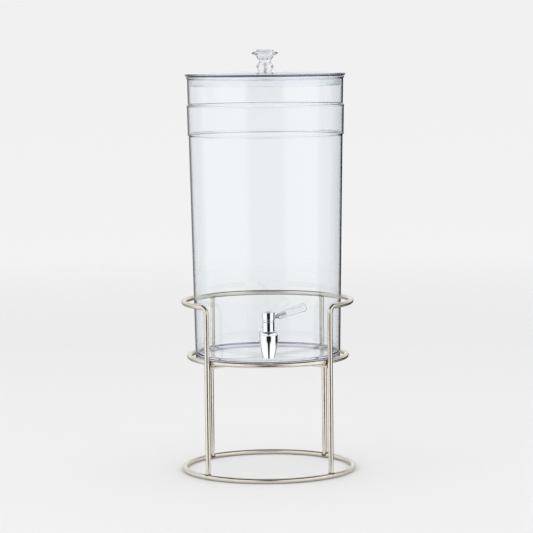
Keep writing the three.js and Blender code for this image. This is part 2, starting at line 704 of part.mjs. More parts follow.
// One moulding: a rounded edge that rests on the rim, a shallow dome, and a skirt that centres it.
function lidPlate() {
  const domeRadius = lidRadius - LID_DOME_INSET;
  const skirtOuter = mouthRadius - LID_FIT_GAP;
  const skirtInner = skirtOuter - SKIRT_WALL;
  const underside = lidTop - LID_PLATE;
  const dome = (from, height) => new THREE.QuadraticBezierCurve(
    at(from, height),
    at(from * domeBendShare, height + LID_DOME_RISE),
    at(KNOB_PAD_RADIUS, height + LID_DOME_RISE),
  ).getPoints(CURVE_STEPS);
  return turnedZ([
    at(knobScrewHole, underside + LID_DOME_RISE),
    ...dome(skirtInner, underside).reverse(),
    at(skirtInner, -SKIRT_DEPTH),
    ...round(skirtOuter - SKIRT_EDGE_ROUND, SKIRT_EDGE_ROUND - SKIRT_DEPTH, SKIRT_EDGE_ROUND, -90, 0),
    at(skirtOuter, SEAT_GAP),
    ...round(lidRadius - LID_EDGE_ROUND, SEAT_GAP + LID_EDGE_ROUND, LID_EDGE_ROUND, -90, 0),
    ...round(lidRadius - LID_EDGE_ROUND, lidTop - LID_EDGE_ROUND, LID_EDGE_ROUND, 0, 90),
    ...dome(domeRadius, lidTop),
    at(knobScrewHole, padHeight),
    at(knobScrewHole, underside + LID_DOME_RISE),
  ], RING_STEPS);
}

// Cut-glass form: every second ring of corners is turned by half a facet, which makes the faces between
// them triangles.
function faceted(rings, sides) {
  const places = [];
  rings.forEach(([radius, height], level) => {
    for (let side = 0; side < sides; side += 1) {
      const angle = ((side + (level % 2) / 2) / sides) * 2 * Math.PI;
      places.push(radius * Math.cos(angle), radius * Math.sin(angle), height);
    }
  });
  places.push(0, 0, rings[0][1], 0, 0, rings[rings.length - 1][1]);
  const corner = (level, side) => level * sides + (side % sides);
  const footCentre = rings.length * sides;
  const faces = [];
  for (let side = 0; side < sides; side += 1) {
    for (let level = 0; level + 1 < rings.length; level += 1) {
      const near = corner(level, side);
      const nextNear = corner(level, side + 1);
      const over = corner(level + 1, side);
      const nextOver = corner(level + 1, side + 1);
      const leaning = [near, nextOver, over, near, nextNear, nextOver];
      const upright = [near, nextNear, over, nextNear, nextOver, over];
      faces.push(...(level % 2 ? leaning : upright));
    }
    faces.push(footCentre, corner(0, side + 1), corner(0, side));
    faces.push(footCentre + 1, corner(rings.length - 1, side), corner(rings.length - 1, side + 1));
  }
  const geometry = new THREE.BufferGeometry();
  geometry.setAttribute('position', new THREE.Float32BufferAttribute(places, 3));
  geometry.setIndex(faces);
  return geometry;
}

function knob() {
  const foot = padHeight + SEAT_GAP;
  const rings = knobRingShares.map(([radius, height]) => (
    [radius * KNOB_RADIUS, foot + height * KNOB_HEIGHT]
  ));
  const hole = turnedZ(
    barProfile(knobScrewHole, foot - OVERRUN, foot + KNOB_SCREW_REACH + SEAT_GAP), SMALL_STEPS,
  );
  return cut(faceted(rings, KNOB_SIDES), hole);
}

function lid() {
  const group = new THREE.Group();
  const ceiling = padHeight - LID_PLATE - SEAT_GAP;
  const washerFoot = ceiling - KNOB_WASHER_THICKNESS;
  const bearing = washerFoot - SEAT_GAP;
  const reach = padHeight + SEAT_GAP + KNOB_SCREW_REACH - bearing;
  const washer = turnedZ(sleeveProfile(knobScrewHole, KNOB_WASHER_RADIUS, washerFoot, ceiling));
  const knobScrew = screw(
    KNOB_SCREW_RADIUS, reach, KNOB_SCREW_HEAD_RADIUS, KNOB_SCREW_HEAD, bearing, 1,
  );
  group.add(
    piece('lid', lidPlate(), acrylic),
    piece('knob', knob(), acrylic),
    piece('knob_washer', washer, silicone),
    piece('knob_screw', knobScrew, steel),
  );
  group.position.z = TANK_HEIGHT;
  return group;
}

function tankAssembly() {
  const group = new THREE.Group();
  group.add(piece('tank', tankShell(), acrylic), tap(), lid());
  group.position.z = tankSeat;
  return group;
}

// The whole object, moved so that the middle of its footprint's box is the origin.
const dispenser = new THREE.Group();
dispenser.add(stand(), tankAssembly());
dispenser.position.y = (footprintFront - footprintBack) / 2;

export default dispenser;
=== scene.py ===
"""A cold-drink dispenser, dressed for a studio photograph.

A clear acrylic tank with a lever tap and a loose lid stands in a stand of bent and welded rod. Sizes
are in millimetres and turns in degrees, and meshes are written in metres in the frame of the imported
model.
"""

import logging
import math
from dataclasses import dataclass
from enum import Enum, IntEnum
from typing import Callable, Iterable, Sequence

import bmesh
import bpy
from mathutils import Matrix, Vector

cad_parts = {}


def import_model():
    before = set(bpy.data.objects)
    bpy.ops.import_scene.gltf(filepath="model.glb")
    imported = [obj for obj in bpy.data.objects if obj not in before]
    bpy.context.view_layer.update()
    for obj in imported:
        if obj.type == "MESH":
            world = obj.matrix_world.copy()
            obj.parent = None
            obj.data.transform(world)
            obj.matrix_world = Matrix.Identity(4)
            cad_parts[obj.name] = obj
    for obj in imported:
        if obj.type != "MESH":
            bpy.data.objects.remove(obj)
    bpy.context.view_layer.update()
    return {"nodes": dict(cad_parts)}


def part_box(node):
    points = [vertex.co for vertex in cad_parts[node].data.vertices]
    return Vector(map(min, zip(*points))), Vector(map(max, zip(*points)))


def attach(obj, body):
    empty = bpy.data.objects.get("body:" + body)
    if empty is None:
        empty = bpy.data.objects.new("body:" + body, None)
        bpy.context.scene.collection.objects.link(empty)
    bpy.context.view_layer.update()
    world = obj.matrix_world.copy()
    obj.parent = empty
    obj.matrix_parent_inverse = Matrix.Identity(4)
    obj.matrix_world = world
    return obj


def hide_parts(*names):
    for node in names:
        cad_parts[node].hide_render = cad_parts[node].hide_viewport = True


LOG = logging.getLogger("dispenser")

MM = 0.001
AXIS = Vector((0.0, 11.5125, 0.0))  # the foot of the upright axis of tank and stand
UP = Vector((0.0, 0.0, 1.0))
ALONG_Y = Matrix.Rotation(-math.pi / 2, 4, "X")  # lays an upright axis along +Y
LONG_RUN = 3.0  # of an outline, from which its ends are held
HOLD = 0.5  # how far inside its ends a long run is held
COARSE = 12  # faces round a form, up to which its outline isn't held
ON_AXIS = 1e-6  # the radius up to which a point is on the axis
EDGE = 0.3  # a broken edge of a turned or moulded part
GAP = 0.3  # between parts that rest on each other or are screwed together
THREAD_FACES = 32  # in one turn of a thread
RIDGE = ((0.0, 0.05), (1.0, 0.42), (1.0, 0.58), (0.0, 0.95))  # of a thread, as shares of depth and pitch
LEGS = ((-1, True), (-1, False), (1, True), (1, False))  # side, and whether a leg is at the front
MIX = {"data_type": "RGBA"}
FIRST, SECOND, MIXED = 6, 7, 2  # a mix node's colour sockets

Point = tuple[float, float]  # of an outline: radius, and place along the axis
Levels = tuple[Point, ...]  # places and grey levels
Colour = tuple[float, float, float, float]
Tree = bpy.types.NodeTree
Node = bpy.types.Node
Socket = bpy.types.NodeSocket


class Body(Enum):
    """The moving bodies of the dispenser."""

    STAND = "stand"
    TANK = "tank"
    HANDLE = "tap_handle"
    LID = "lid"


class Shading(Enum):
    """How a mesh is shaded: flat facets, or smooth up to a sharp edge of that many degrees."""

    FLAT = 0
    CRISP = 28
    SOFT = 50


class Faces(IntEnum):
    """How many faces go round a form."""

    MOULDING = 256
    RING = 192
    NUT = 144
    BELL = 128
    ARM = 96
    SEAL = 72
    WASHER = 64
    STUD = 48
    SCREW = 40
    ROD = 24
    BAR = 20
    TACK = 12
    BEAD = 10


# Colour and nodes


def linear(code: int) -> Colour:
    """Turns an sRGB hex value into the linear colour that a shader takes.

    Args:
        code: The colour as 0xRRGGBB.

    Returns:
        Linear red, green and blue, and an alpha of one.
    """
    channels = [((code >> shift) & 0xFF) / 0xFF for shift in (16, 8, 0)]
    red, green, blue = (c / 12.92 if c <= 0.04045 else ((c + 0.055) / 1.055) ** 2.4 for c in channels)
    return (red, green, blue, 1.0)


def add_node(tree: Tree, kind: str, settings: dict | None = None, inputs: dict | None = None,
             stops: Sequence[Point] = ()) -> Node:
    """Adds a shader node with its settings, socket values and links.

    Args:
        tree: The node tree that it goes into.
        kind: The node's type, without the word ShaderNode.
        settings: The node's own properties by name.
        inputs: Socket values by name or index; a socket, or a node for its first output, makes a link.
        stops: The places and grey levels of a ramp, if the node has one.

    Returns:
        The new node.
    """
    node = tree.nodes.new("ShaderNode" + kind)
    for name, value in (settings or {}).items():
        setattr(node, name, value)
    for index, (place, level) in enumerate(stops):
        ramp = node.color_ramp.elements
        stop = ramp[index] if index < len(ramp) else ramp.new(place)
        stop.position = place
        stop.color = (level, level, level, 1.0)
    for name, value in (inputs or {}).items():
        if isinstance(value, (Node, Socket)):
            tree.links.new(value if isinstance(value, Socket) else value.outputs[0], node.inputs[name])
        else:
            node.inputs[name].default_value = value
    return node


def mirrored(tree: Tree, seen: Node) -> Node:
    """Tells a ray that comes off a gloss from one that has passed through the clear material.

    Args:
        tree: The node tree.
        seen: Its light path node.

    Returns:
        A node that gives one for a mirrored ray, and zero for any other.
    """
    return add_node(tree, "Math", {"operation": "SUBTRACT", "use_clamp": True}, {
        0: seen.outputs["Is Glossy Ray"], 1: seen.outputs["Is Transmission Ray"]})


# Finishes


@dataclass(frozen=True)
class Pattern:
    """A clouded pattern in the object's own space.

    It has its features' size in millimetres, a number of finer layers, and a scale along each axis.
    """

    size: float
    layers: float = 3.0
    stretch: tuple[float, float, float] = (1.0, 1.0, 1.0)

    def draw(self, tree: Tree) -> Node:
        """Adds the pattern to a material.

        Args:
            tree: The material's nodes.

        Returns:
            The node that gives the pattern, from 0 to 1.
        """
        place = add_node(tree, "TexCoord").outputs["Object"]
        turned = add_node(tree, "Mapping", inputs={"Vector": place, "Scale": self.stretch})
        return add_node(tree, "TexNoise", inputs={
            "Vector": turned, "Scale": 1 / (self.size * MM), "Detail": self.layers})


@dataclass(frozen=True)
class Finish:
    """A finish: a named material that is made once and shared by all pieces that have it.

    Patches of two tones cover it. Its roughness is even, or goes from one value to another over the span
    of its own grain or of the patches. Its relief follows a pattern of its own or the patches too, and
    has a height in millimetres and a share that shows.
    """

    name: str
    slot: str
    tone: int
    shade: int
    patches: Pattern
    roughness: float | Point
    sockets: tuple[tuple[str, float], ...] = (("Metallic", 1.0),)
    grain: Pattern | None = None
    relief: Pattern | None = None
    relief_height: float = 0.0
    relief_share: float = 0.4
    grain_span: Point = (0.3, 0.7)

    def material(self) -> bpy.types.Material:
        """Makes the material, or finds it again.

        Returns:
            The material with its nodes in place.
        """
        found = bpy.data.materials.get(self.name)
        if found:
            return found
        made = bpy.data.materials.new(self.name)
        made.use_nodes = True
        tree = made.node_tree
        tree.nodes.clear()
        patches, grain, relief = self.patches, self.grain or self.patches, self.relief or self.patches
        drawn = {pattern: pattern.draw(tree) for pattern in dict.fromkeys((patches, grain, relief))}
        inputs = {"Base Color": self.colour(tree, drawn[patches]), "Roughness": self.roughness,
                  **dict(self.sockets)}
        if isinstance(self.roughness, tuple):
            inputs["Roughness"] = add_node(tree, "MapRange", inputs={
                "Value": drawn[grain], "From Min": self.grain_span[0], "From Max": self.grain_span[1],
                "To Min": self.roughness[0], "To Max": self.roughness[1]})
        if self.relief_height:
            inputs["Normal"] = add_node(tree, "Bump", inputs={
                "Height": drawn[relief], "Distance": self.relief_height * MM, "Strength": self.relief_share})
        surface = add_node(tree, "BsdfPrincipled", inputs=inputs)
        add_node(tree, "OutputMaterial", inputs=self.ends(tree, surface))
        return made

    def colour(self, tree: Tree, patches: Node) -> Socket:
        """Mixes the two tones by the patches.

        Args:
            tree: The material's nodes.
            patches: The pattern of the patches.

        Returns:
            The surface's colour.
        """
        tones = {FIRST: linear(self.shade), SECOND: linear(self.tone)}
        return add_node(tree, "Mix", MIX, {0: patches, **tones}).outputs[MIXED]

    def ends(self, tree: Tree, surface: Node) -> dict[str, Node]:
        """Gives what the material's output takes.

        Args:
            tree: The material's nodes; not used here.
            surface: The surface shader.

        Returns:
            The shaders by the output's sockets.
        """
        return {"Surface": surface}


@dataclass(frozen=True)
class SatinNickelPlate(Finish):
    """Nickel plate on linished steel rod: a warm grey metal with wide soft highlights."""

    name: str = "satin_nickel_plate"
    slot: str = "satin_nickel"
    tone: int = 0xE8E3D8
    shade: int = 0xDBD5C8
    patches: Pattern = Pattern(14.0)
    roughness: float | Point = (0.18, 0.26)
    # The linishing belt's 0.2 mm grain is too fine to show, so it is drawn at 1.2 mm.
    grain: Pattern = Pattern(1.2, 2.0)
    relief: Pattern = Pattern(1.2, 2.0)
    relief_height: float = 0.006
    relief_share: float = 0.3


@dataclass(frozen=True)
class WeldedNickelPaintedShade(SatinNickelPlate):
    """Plated weld metal: the bead's ripples, and a duller dark brown tone that is partly the weld's own
    and partly painted shade where the rods meet.
    """

    name: str = "plated_weld_painted_shade"
    # Partly the weld's own tone and partly painted shade at the rod junctions.
    tone: int = 0x84745C
    shade: int = 0x3A3024
    patches: Pattern = Pattern(1.8, 1.0)
    roughness: float | Point = 0.42
    grain: Pattern | None = None
    relief: Pattern = Pattern(0.9, 1.0)
    relief_height: float = 0.15
    relief_share: float = 0.6


@dataclass(frozen=True)
class PolishedChrome(Finish):
    """Bright chromium over polished brass: a cool mirror with faint smears about 5 mm across, and the
    buffing wheel's slight waviness under them."""

    name: str = "polished_chrome"
    slot: str = "chrome"
    tone: int = 0xF1F3F6
    shade: int = 0xE3E6EA
    patches: Pattern = Pattern(5.0)
    roughness: float | Point = (0.025, 0.06)
    relief: Pattern = Pattern(9.0, 1.0)
    relief_height: float = 0.02
    relief_share: float = 0.5


@dataclass(frozen=True)
class TurnedStainless(Finish):
    """Stainless steel as turned: a neutral grey with the tool's fine rings."""

    name: str = "turned_stainless"
    slot: str = "steel"
    tone: int = 0xC4C6C8
    shade: int = 0xA9ACAE
    # The tool's rings are 0.1 mm apart, and drawn at 0.6 mm so that they show.
    patches: Pattern = Pattern(0.6, 2.0, (1.0, 1.0, 0.2))
    roughness: float | Point = (0.2, 0.32)
    relief_height: float = 0.02


@dataclass(frozen=True)
class BrightStainless(TurnedStainless):
    """Tumbled stainless steel: lighter and softer in its gloss than a turned face."""

    name: str = "tumbled_stainless"
    tone: int = 0xEDEEF0
    shade: int = 0xDFE1E4
    roughness: float | Point = (0.34, 0.5)


@dataclass(frozen=True)
class ClearAcrylic(Finish):
    """Moulded clear acrylic: bright as glass, with painted shade as a dark edge in the last few degrees
    where an upright wall is seen edge on, painted violet light on the slanted faces of the foot, and
    violet where the light passes far through it.

    Smudges about 40 mm long lie on it, and the moulding's flow leaves very shallow waves of 70 mm.
    """

    name: str = "clear_acrylic_moulded"
    slot: str = "clear_acrylic"
    tone: int = 0xFDFFFF
    # The second tone is painted violet light, laid on the slanted faces of the foot.
    shade: int = 0xDCD8FA
    patches: Pattern = Pattern(40.0)
    roughness: float | Point = (0.0, 0.02)
    sockets: tuple[tuple[str, float], ...] = (("Transmission Weight", 1.0), ("IOR", 1.49))
    relief: Pattern = Pattern(70.0, 0.0)
    relief_height: float = 0.05
    relief_share: float = 0.3
    # Painted shade: the edge tone is painted on the outer skin where an upright wall is seen edge on.
    facing_blend: float = 0.5
    edge: int = 0x101016
    painted_edge_on: Point = (0.72, 0.82)
    upright: Point = (0.2, 0.6)
    # Heights over which the painted violet light fades out above the foot, and the faces' lean that takes it.
    painted_violet_fade: Point = (185.0, 190.0)
    painted_violet_slopes: Levels = ((0.0, 0.0), (0.2, 0.0), (0.45, 1.0), (0.9, 1.0), (0.98, 0.0))
    deep_tone: int = 0x6C63E7
    density: float = 4.0

    def colour(self, tree: Tree, patches: Node) -> Socket:
        """Paints shade on upright walls seen edge on, and paints violet light over the slanted faces of the
        foot.

        Args:
            tree: The material's nodes.
            patches: The smudges; not used, as they don't change the colour.

        Returns:
            The surface's colour.
        """
        facing = add_node(tree, "LayerWeight", inputs={"Blend": self.facing_blend}).outputs["Facing"]
        skin = add_node(tree, "NewGeometry")
        lean = add_node(tree, "SeparateXYZ", inputs={0: skin.outputs["Normal"]}).outputs["Z"]
        lie = add_node(tree, "Math", {"operation": "ABSOLUTE"}, {0: lean})
        place = add_node(tree, "TexCoord").outputs["Object"]
        height = add_node(tree, "SeparateXYZ", inputs={0: place}).outputs["Z"]
        foot = tuple(end * MM for end in self.painted_violet_fade)
        rim, wall, low = (
            add_node(tree, "MapRange", inputs={
                "Value": value, "From Min": start, "From Max": end, "To Min": first, "To Max": 1.0 - first})
            for value, (start, end), first in (
                (facing, self.painted_edge_on, 0.0), (lie, self.upright, 1.0), (height, foot, 1.0))
        )
        painted_violet_slant = add_node(tree, "ValToRGB", inputs={0: lie}, stops=self.painted_violet_slopes)
        # Painted shade on the edges seen edge on, and painted violet light on the foot's slanted faces.
        dark = add_node(tree, "Math", {"operation": "MULTIPLY"}, {0: rim, 1: wall})
        dark = add_node(tree, "Math", {"operation": "MULTIPLY"}, {0: dark, 1: self.outside(tree, skin)})
        violet = add_node(tree, "Math", {"operation": "MULTIPLY"}, {0: painted_violet_slant, 1: low})
        body = add_node(tree, "Mix", MIX, {0: violet, FIRST: linear(self.tone), SECOND: linear(self.shade)})
        return add_node(tree, "Mix", MIX, {
            0: dark, FIRST: body.outputs[MIXED], SECOND: linear(self.edge)}).outputs[MIXED]

    def outside(self, tree: Tree, skin: Node) -> Node:
        """Tells where light enters through the outer skin of a round moulding, where the painted edge shade
        goes.

        Args:
            tree: The material's nodes.
            skin: The geometry node.

        Returns:
            A node that gives one on the outer skin's front, and zero elsewhere.
        """
        away = add_node(tree, "VectorMath", {"operation": "MULTIPLY_ADD"}, {
            0: skin.outputs["Position"], 1: (1.0, 1.0, 0.0), 2: -AXIS * MM})
        along = add_node(tree, "VectorMath", {"operation": "DOT_PRODUCT"}, {
            0: away, 1: skin.outputs["Normal"]})
        outward = add_node(tree, "Math", {"operation": "GREATER_THAN"}, {0: along.outputs["Value"], 1: 0.0})
        return add_node(tree, "Math", {"operation": "SUBTRACT", "use_clamp": True}, {
            0: outward, 1: skin.outputs["Backfacing"]})

    def ends(self, tree: Tree, surface: Node) -> dict[str, Node]:
        """Gives the depth its violet.

        Args:
            tree: The material's nodes.
            surface: The surface shader.

        Returns:
            The shaders by the output's sockets.
        """
        depth = add_node(tree, "VolumeAbsorption", inputs={
            "Color": linear(self.deep_tone), "Density": self.density})
        return {"Surface": surface, "Volume": depth}


@dataclass(frozen=True)
class LidAcrylic(ClearAcrylic):
    """The lid's acrylic: its thick rounded edge is painted with violet light instead of painted shade."""

    name: str = "clear_acrylic_lid_painted_edge_light"
    # Painted violet light along the lid's edge, where the tank has painted shade.
    edge: int = 0xD2CEFA


@dataclass(frozen=True)
class CutAcrylic(ClearAcrylic):
    """The same acrylic in small solid pieces, faceted and polished: clearer, with softer painted shade
    at its edges.
    """

    name: str = "clear_acrylic_cut"
    tone: int = 0xFDFDFF
    # Painted shade at the edges seen edge on, softer than the tank's.
    edge: int = 0x24243C
    painted_edge_on: Point = (0.55, 0.75)
    upright: Point = (0.8, 1.0)
    density: float = 1.2


@dataclass(frozen=True)
class ClearSilicone(Finish):
    """Moulded silicone washer: milky over about 3 mm, soft, and it lets most of the light through."""

    name: str = "clear_silicone"
    slot: str = "silicone"
    tone: int = 0xF0F2F3
    shade: int = 0xDDE1E3
    patches: Pattern = Pattern(3.0)
    roughness: float | Point = (0.3, 0.42)
    sockets: tuple[tuple[str, float], ...] = (("Transmission Weight", 0.7), ("IOR", 1.41))
    relief: Pattern = Pattern(1.5)
    relief_height: float = 0.05
    relief_share: float = 0.3


@dataclass(frozen=True)
class BlackRubber(Finish):
    """Nitrile rubber ring: near black, with the dull bloom of its mould in patches of about 1 mm."""

    name: str = "black_rubber"
    slot: str = "rubber"
    tone: int = 0x2B2B2D
    shade: int = 0x1B1B1D
    patches: Pattern = Pattern(1.0)
    roughness: float | Point = (0.45, 0.6)
    sockets: tuple[tuple[str, float], ...] = (("IOR", 1.52),)
    relief_height: float = 0.03


@dataclass(frozen=True)
class TurnedNylon(Finish):
    """White nylon as turned: waxy and slightly see-through at its edges."""

    name: str = "turned_nylon"
    slot: str = "nylon"
    tone: int = 0xF1F0EA
    shade: int = 0xE4E3DB
    # The turning rings are drawn at 0.8 mm, wider than real, so that they show.
    patches: Pattern = Pattern(0.8, 2.0, (0.2, 0.2, 1.0))
    roughness: float | Point = (0.35, 0.5)
    sockets: tuple[tuple[str, float], ...] = (("IOR", 1.53), ("Subsurface Weight", 0.1))
    relief_height: float = 0.03


@dataclass(frozen=True)
class StudioFloor(Finish):
    """Matt white laminate table: even, with a faint mottle of about 300 mm."""

    name: str = "white_table"
    slot: str = ""
    tone: int = 0xF0F0F0
    shade: int = 0xEEEEEE
    patches: Pattern = Pattern(300.0)
    roughness: float | Point = 0.75
    sockets: tuple[tuple[str, float], ...] = (("Specular IOR Level", 0.2),)
    far_fade: Point = (1.6, 3.4)  # in metres from the dispenser, as is the next
    near_fade: Point = (0.16, 0.22)

    def ends(self, tree: Tree, surface: Node) -> dict[str, Node]:
        """Lets the far edge run out into the backdrop. In polished metal and acrylic only the near part
        shows, because the room's dark and bright sides stand close round it.

        Args:
            tree: The material's nodes.
            surface: The surface shader.

        Returns:
            The shaders by the output's sockets.
        """
        place = add_node(tree, "TexCoord").outputs["Object"]
        away = add_node(tree, "VectorMath", {"operation": "LENGTH"}, {0: place}).outputs["Value"]
        far, beside = (add_node(tree, "MapRange", inputs={"Value": away, "From Min": start, "From Max": end})
                       for start, end in (self.far_fade, self.near_fade))
        hidden = add_node(tree, "Math", {"operation": "MULTIPLY"}, {
            0: beside, 1: mirrored(tree, add_node(tree, "LightPath"))})
        fade = add_node(tree, "Math", {"operation": "MAXIMUM"}, {0: far, 1: hidden})
        return {"Surface": add_node(tree, "MixShader", inputs={
            0: fade, 1: surface, 2: add_node(tree, "BsdfTransparent")})}


# Outlines and meshes


def shares(steps: int) -> list[float]:
    """Gives the shares from 0 to 1 in that many even steps."""
    return [step / steps for step in range(steps + 1)]


def angles(count: int, late: float = 0.0) -> list[float]:
    """Gives the angles of that many corners round a circle, all late by a share of a step."""
    return [2 * math.pi * (step + late) / count for step in range(count)]


def polar(radius: float, angle: float, height: float) -> Vector:
    """Gives a place by its distance from the Z axis, its angle from +X and its height."""
    return Vector((radius * math.cos(angle), radius * math.sin(angle), height))


def on_plan(radius: float, angle: float, height: float) -> Vector:
    """Gives a place by its distance from the Z axis, its angle from the front towards +X and its height."""
    return Vector((radius * math.sin(angle), -radius * math.cos(angle), height))


def arc(centre: Point, radius: float, start: float, end: float, steps: int = 8) -> list[Point]:
    """Draws an arc of an outline.

    Args:
        centre: The arc's centre.
        radius: Its radius.
        start: Its first angle in degrees, from the radius direction towards the axis direction.
        end: Its last angle.
        steps: How many straight runs it has.

    Returns:
        The points along it.
    """
    bends = [math.radians(start + (end - start) * step / steps) for step in range(steps + 1)]
    return [(centre[0] + radius * math.cos(a), centre[1] + radius * math.sin(a)) for a in bends]


def bezier(controls: Sequence[Point], steps: int) -> list[Point]:
    """Draws a Bezier curve of an outline.

    Args:
        controls: Its control points.
        steps: How many straight runs it has.

    Returns:
        The points along it.
    """
    points = []
    for share in shares(steps):
        level = list(controls)
        while len(level) > 1:
            level = [tuple(a + (b - a) * share for a, b in zip(p, q)) for p, q in zip(level, level[1:])]
        points.append(level[0])
    return points


def post(radius: float, start: float, end: float) -> list[Point]:
    """Gives a solid post's outline by its radius and where it starts and ends along the axis."""
    return [(0.0, start), (radius, start), (radius, end), (0.0, end)]


def held(outline: Sequence[Point], closed: bool) -> list[Point]:
    """Adds a point just inside both ends of every long straight run, so that the shading of the round
    beside it doesn't creep along it.

    Args:
        outline: The outline's points.
        closed: Whether the last point joins the first.

    Returns:
        The outline with the added points.
    """
    points = []
    for here, following in zip(outline, [*outline[1:], outline[0]]):
        points.append(here)
        length = math.dist(here, following)
        if length > LONG_RUN and (closed or following is not outline[0]):
            for share in (HOLD / length, 1 - HOLD / length):
                points.append(tuple(a + (b - a) * share for a, b in zip(here, following)))
    return points


class Form:
    """A mesh under construction, in millimetres, that collects the shapes of one piece."""

    def __init__(self) -> None:
        """Starts an empty mesh."""
        self.mesh = bmesh.new()

    def loft(self, rings: Iterable[Sequence[Vector]], closed: bool = False) -> list[list[bmesh.types.BMVert]]:
        """Joins rings of places, any of which may be a single one.

        Args:
            rings: The places of each ring.
            closed: Whether the last ring joins the first.

        Returns:
            The mesh's corners, ring by ring.
        """
        made = [[self.mesh.verts.new(place) for place in ring] for ring in rings]
        for low, high in zip(made, made[1:] + made[:1] if closed else made[1:]):
            self.bridge(low, high)
        return made

    def bridge(self, low: Sequence[bmesh.types.BMVert], high: Sequence[bmesh.types.BMVert]) -> None:
        """Joins two rings of corners, either of which may be a single point.

        Args:
            low: The first ring.
            high: The second ring.
        """
        steps = max(len(low), len(high))
        for step in range(steps if steps > 1 else 0):
            after = (step + 1) % steps
            around = [low[step % len(low)], low[after % len(low)],
                      high[after % len(high)], high[step % len(high)]]
            corners = list(dict.fromkeys(around))
            if len(corners) > 2:
                self.mesh.faces.new(corners)

    def turn(self, outline: Sequence[Point], steps: int, place: Matrix = Matrix(),
             closed: bool = False) -> "Form":
        """Spins an outline about the axis of a place.

        Args:
            outline: Its points; one at radius zero is on the axis.
            steps: How many faces go round.
            place: The axis, as the matrix that moves an upright axis there.
            closed: Whether the last point joins the first.

        Returns:
            This form.
        """
        line = held(outline, closed) if steps > COARSE else outline
        self.loft([[place @ polar(radius, angle, along) for angle in angles(steps if radius > ON_AXIS else 1)]
                   for radius, along in line], closed)
        return self

    def sweep(self, path: Sequence[Vector], radii: float | Sequence[float], sides: int,
              closed: bool = False) -> "Form":
        """Runs a round section along a path.

        Args:
            path: The centre line.
            radii: The section's radius, or one radius for each point.
            sides: How many faces go round the section.
            closed: Whether the path is a loop.

        Returns:
            This form.
        """
        count = len(path)
        rings = []
        side = None
        for index, centre in enumerate(path):
            before = path[index - 1] if closed or index else centre
            after = path[(index + 1) % count] if closed or index + 1 < count else centre
            ahead = (after - before).normalized()
            if side is None:
                side = ahead.orthogonal().normalized()
            side = (side - ahead * side.dot(ahead)).normalized()
            over = ahead.cross(side)
            size = radii[index] if isinstance(radii, list) else radii
            rings.append([centre + (side * math.cos(a) + over * math.sin(a)) * size for a in angles(sides)])
        made = self.loft(rings)
        if closed:
            first, last = made[0], made[-1][0].co
            near = min(range(sides), key=lambda index: (first[index].co - last).length)
            self.bridge(made[-1], first[near:] + first[:near])
        else:
            self.mesh.faces.new(made[0][::-1])
            self.mesh.faces.new(made[-1])
        return self

    def thread(self, radius: float, depth: float, pitch: float, start: float, end: float,
               place: Matrix = Matrix()) -> "Form":
        """Winds a screw thread's ridge round a shank.

        Args:
            radius: The shank's radius at the thread's root.
            depth: The ridge's height.
            pitch: The rise of one turn.
            start: Where the thread starts along the axis.
            end: Where it ends.
            place: The axis, as the matrix that moves an upright axis there.

        Returns:
            This form.
        """
        rows = []
        count = int(THREAD_FACES * ((end - start) / pitch - 1))
        for step in range(count + 1):
            angle = 2 * math.pi * step / THREAD_FACES
            base = start + pitch * step / THREAD_FACES
            fade = min(1.0, step / THREAD_FACES, (count - step) / THREAD_FACES)
            ridge = [polar(radius + out * depth * fade, angle, base + up * pitch) for out, up in RIDGE]
            rows.append([self.mesh.verts.new(place @ corner) for corner in ridge])
        for low, high in zip(rows, rows[1:]):
            for one, two in zip(range(len(RIDGE)), range(1, len(RIDGE))):
                self.mesh.faces.new([low[one], high[one], high[two], low[two]])
        return self

    def facets(self, outline: Sequence[Point], sides: int) -> "Form":
        """Stacks rings of corners, every second one turned by half a facet, as cut glass has them.

        Args:
            outline: The radius and height of each ring.
            sides: How many corners a ring has.

        Returns:
            This form.
        """
        rings = [[self.mesh.verts.new(polar(radius, angle, height)) for angle in angles(sides, level % 2 / 2)]
                 for level, (radius, height) in enumerate(outline)]
        for level, (low, high) in enumerate(zip(rings, rings[1:])):
            for side in range(sides):
                near, far = low[side], low[(side + 1) % sides]
                over, beyond = high[side], high[(side + 1) % sides]
                pair = ([near, beyond, over], [near, far, beyond]) if level % 2 else (
                    [near, far, over], [far, beyond, over])
                for corners in pair:
                    self.mesh.faces.new(corners)
        self.mesh.faces.new(rings[0][::-1])
        self.mesh.faces.new(rings[-1])
        return self

    def soften(self, width: float, angle: float, segments: int) -> "Form":
        """Breaks the edges that are sharper than an angle.

        Args:
            width: The width of the broken edge.
            angle: The least angle between the faces, in degrees.
            segments: How many faces round it.

        Returns:
            This form.
        """
        self.mesh.normal_update()
        sharp = [e for e in self.mesh.edges if e.is_manifold and math.degrees(e.calc_face_angle(0.0)) > angle]
        bmesh.ops.bevel(self.mesh, geom=sharp, offset=width, segments=segments, affect="EDGES", profile=0.5,
                        clamp_overlap=True)
        return self

    def object(self, name: str, place: Matrix) -> bpy.types.Object:
        """Turns the form into an object in metres.

        Args:
            name: The object's name.
            place: Where the form's own frame stands in the row frame, in millimetres.

        Returns:
            The object.
        """
        bmesh.ops.transform(self.mesh, matrix=Matrix.Scale(MM, 4) @ place, verts=self.mesh.verts)
        bmesh.ops.recalc_face_normals(self.mesh, faces=self.mesh.faces)
        data = bpy.data.meshes.new(name)
        self.mesh.to_mesh(data)
        self.mesh.free()
        made = bpy.data.objects.new(name, data)
        bpy.context.scene.collection.objects.link(made)
        return made


def shade(piece: bpy.types.Object, shading: Shading) -> None:
    """Shades a mesh flat, or smooth with its sharp edges kept.

    Args:
        piece: The object.
        shading: The way it is shaded.
    """
    smooth = shading is not Shading.FLAT
    piece.data.polygons.foreach_set("use_smooth", [smooth] * len(piece.data.polygons))
    if smooth:
        piece.data.set_sharp_from_angle(angle=math.radians(shading.value))
    piece.data.update()


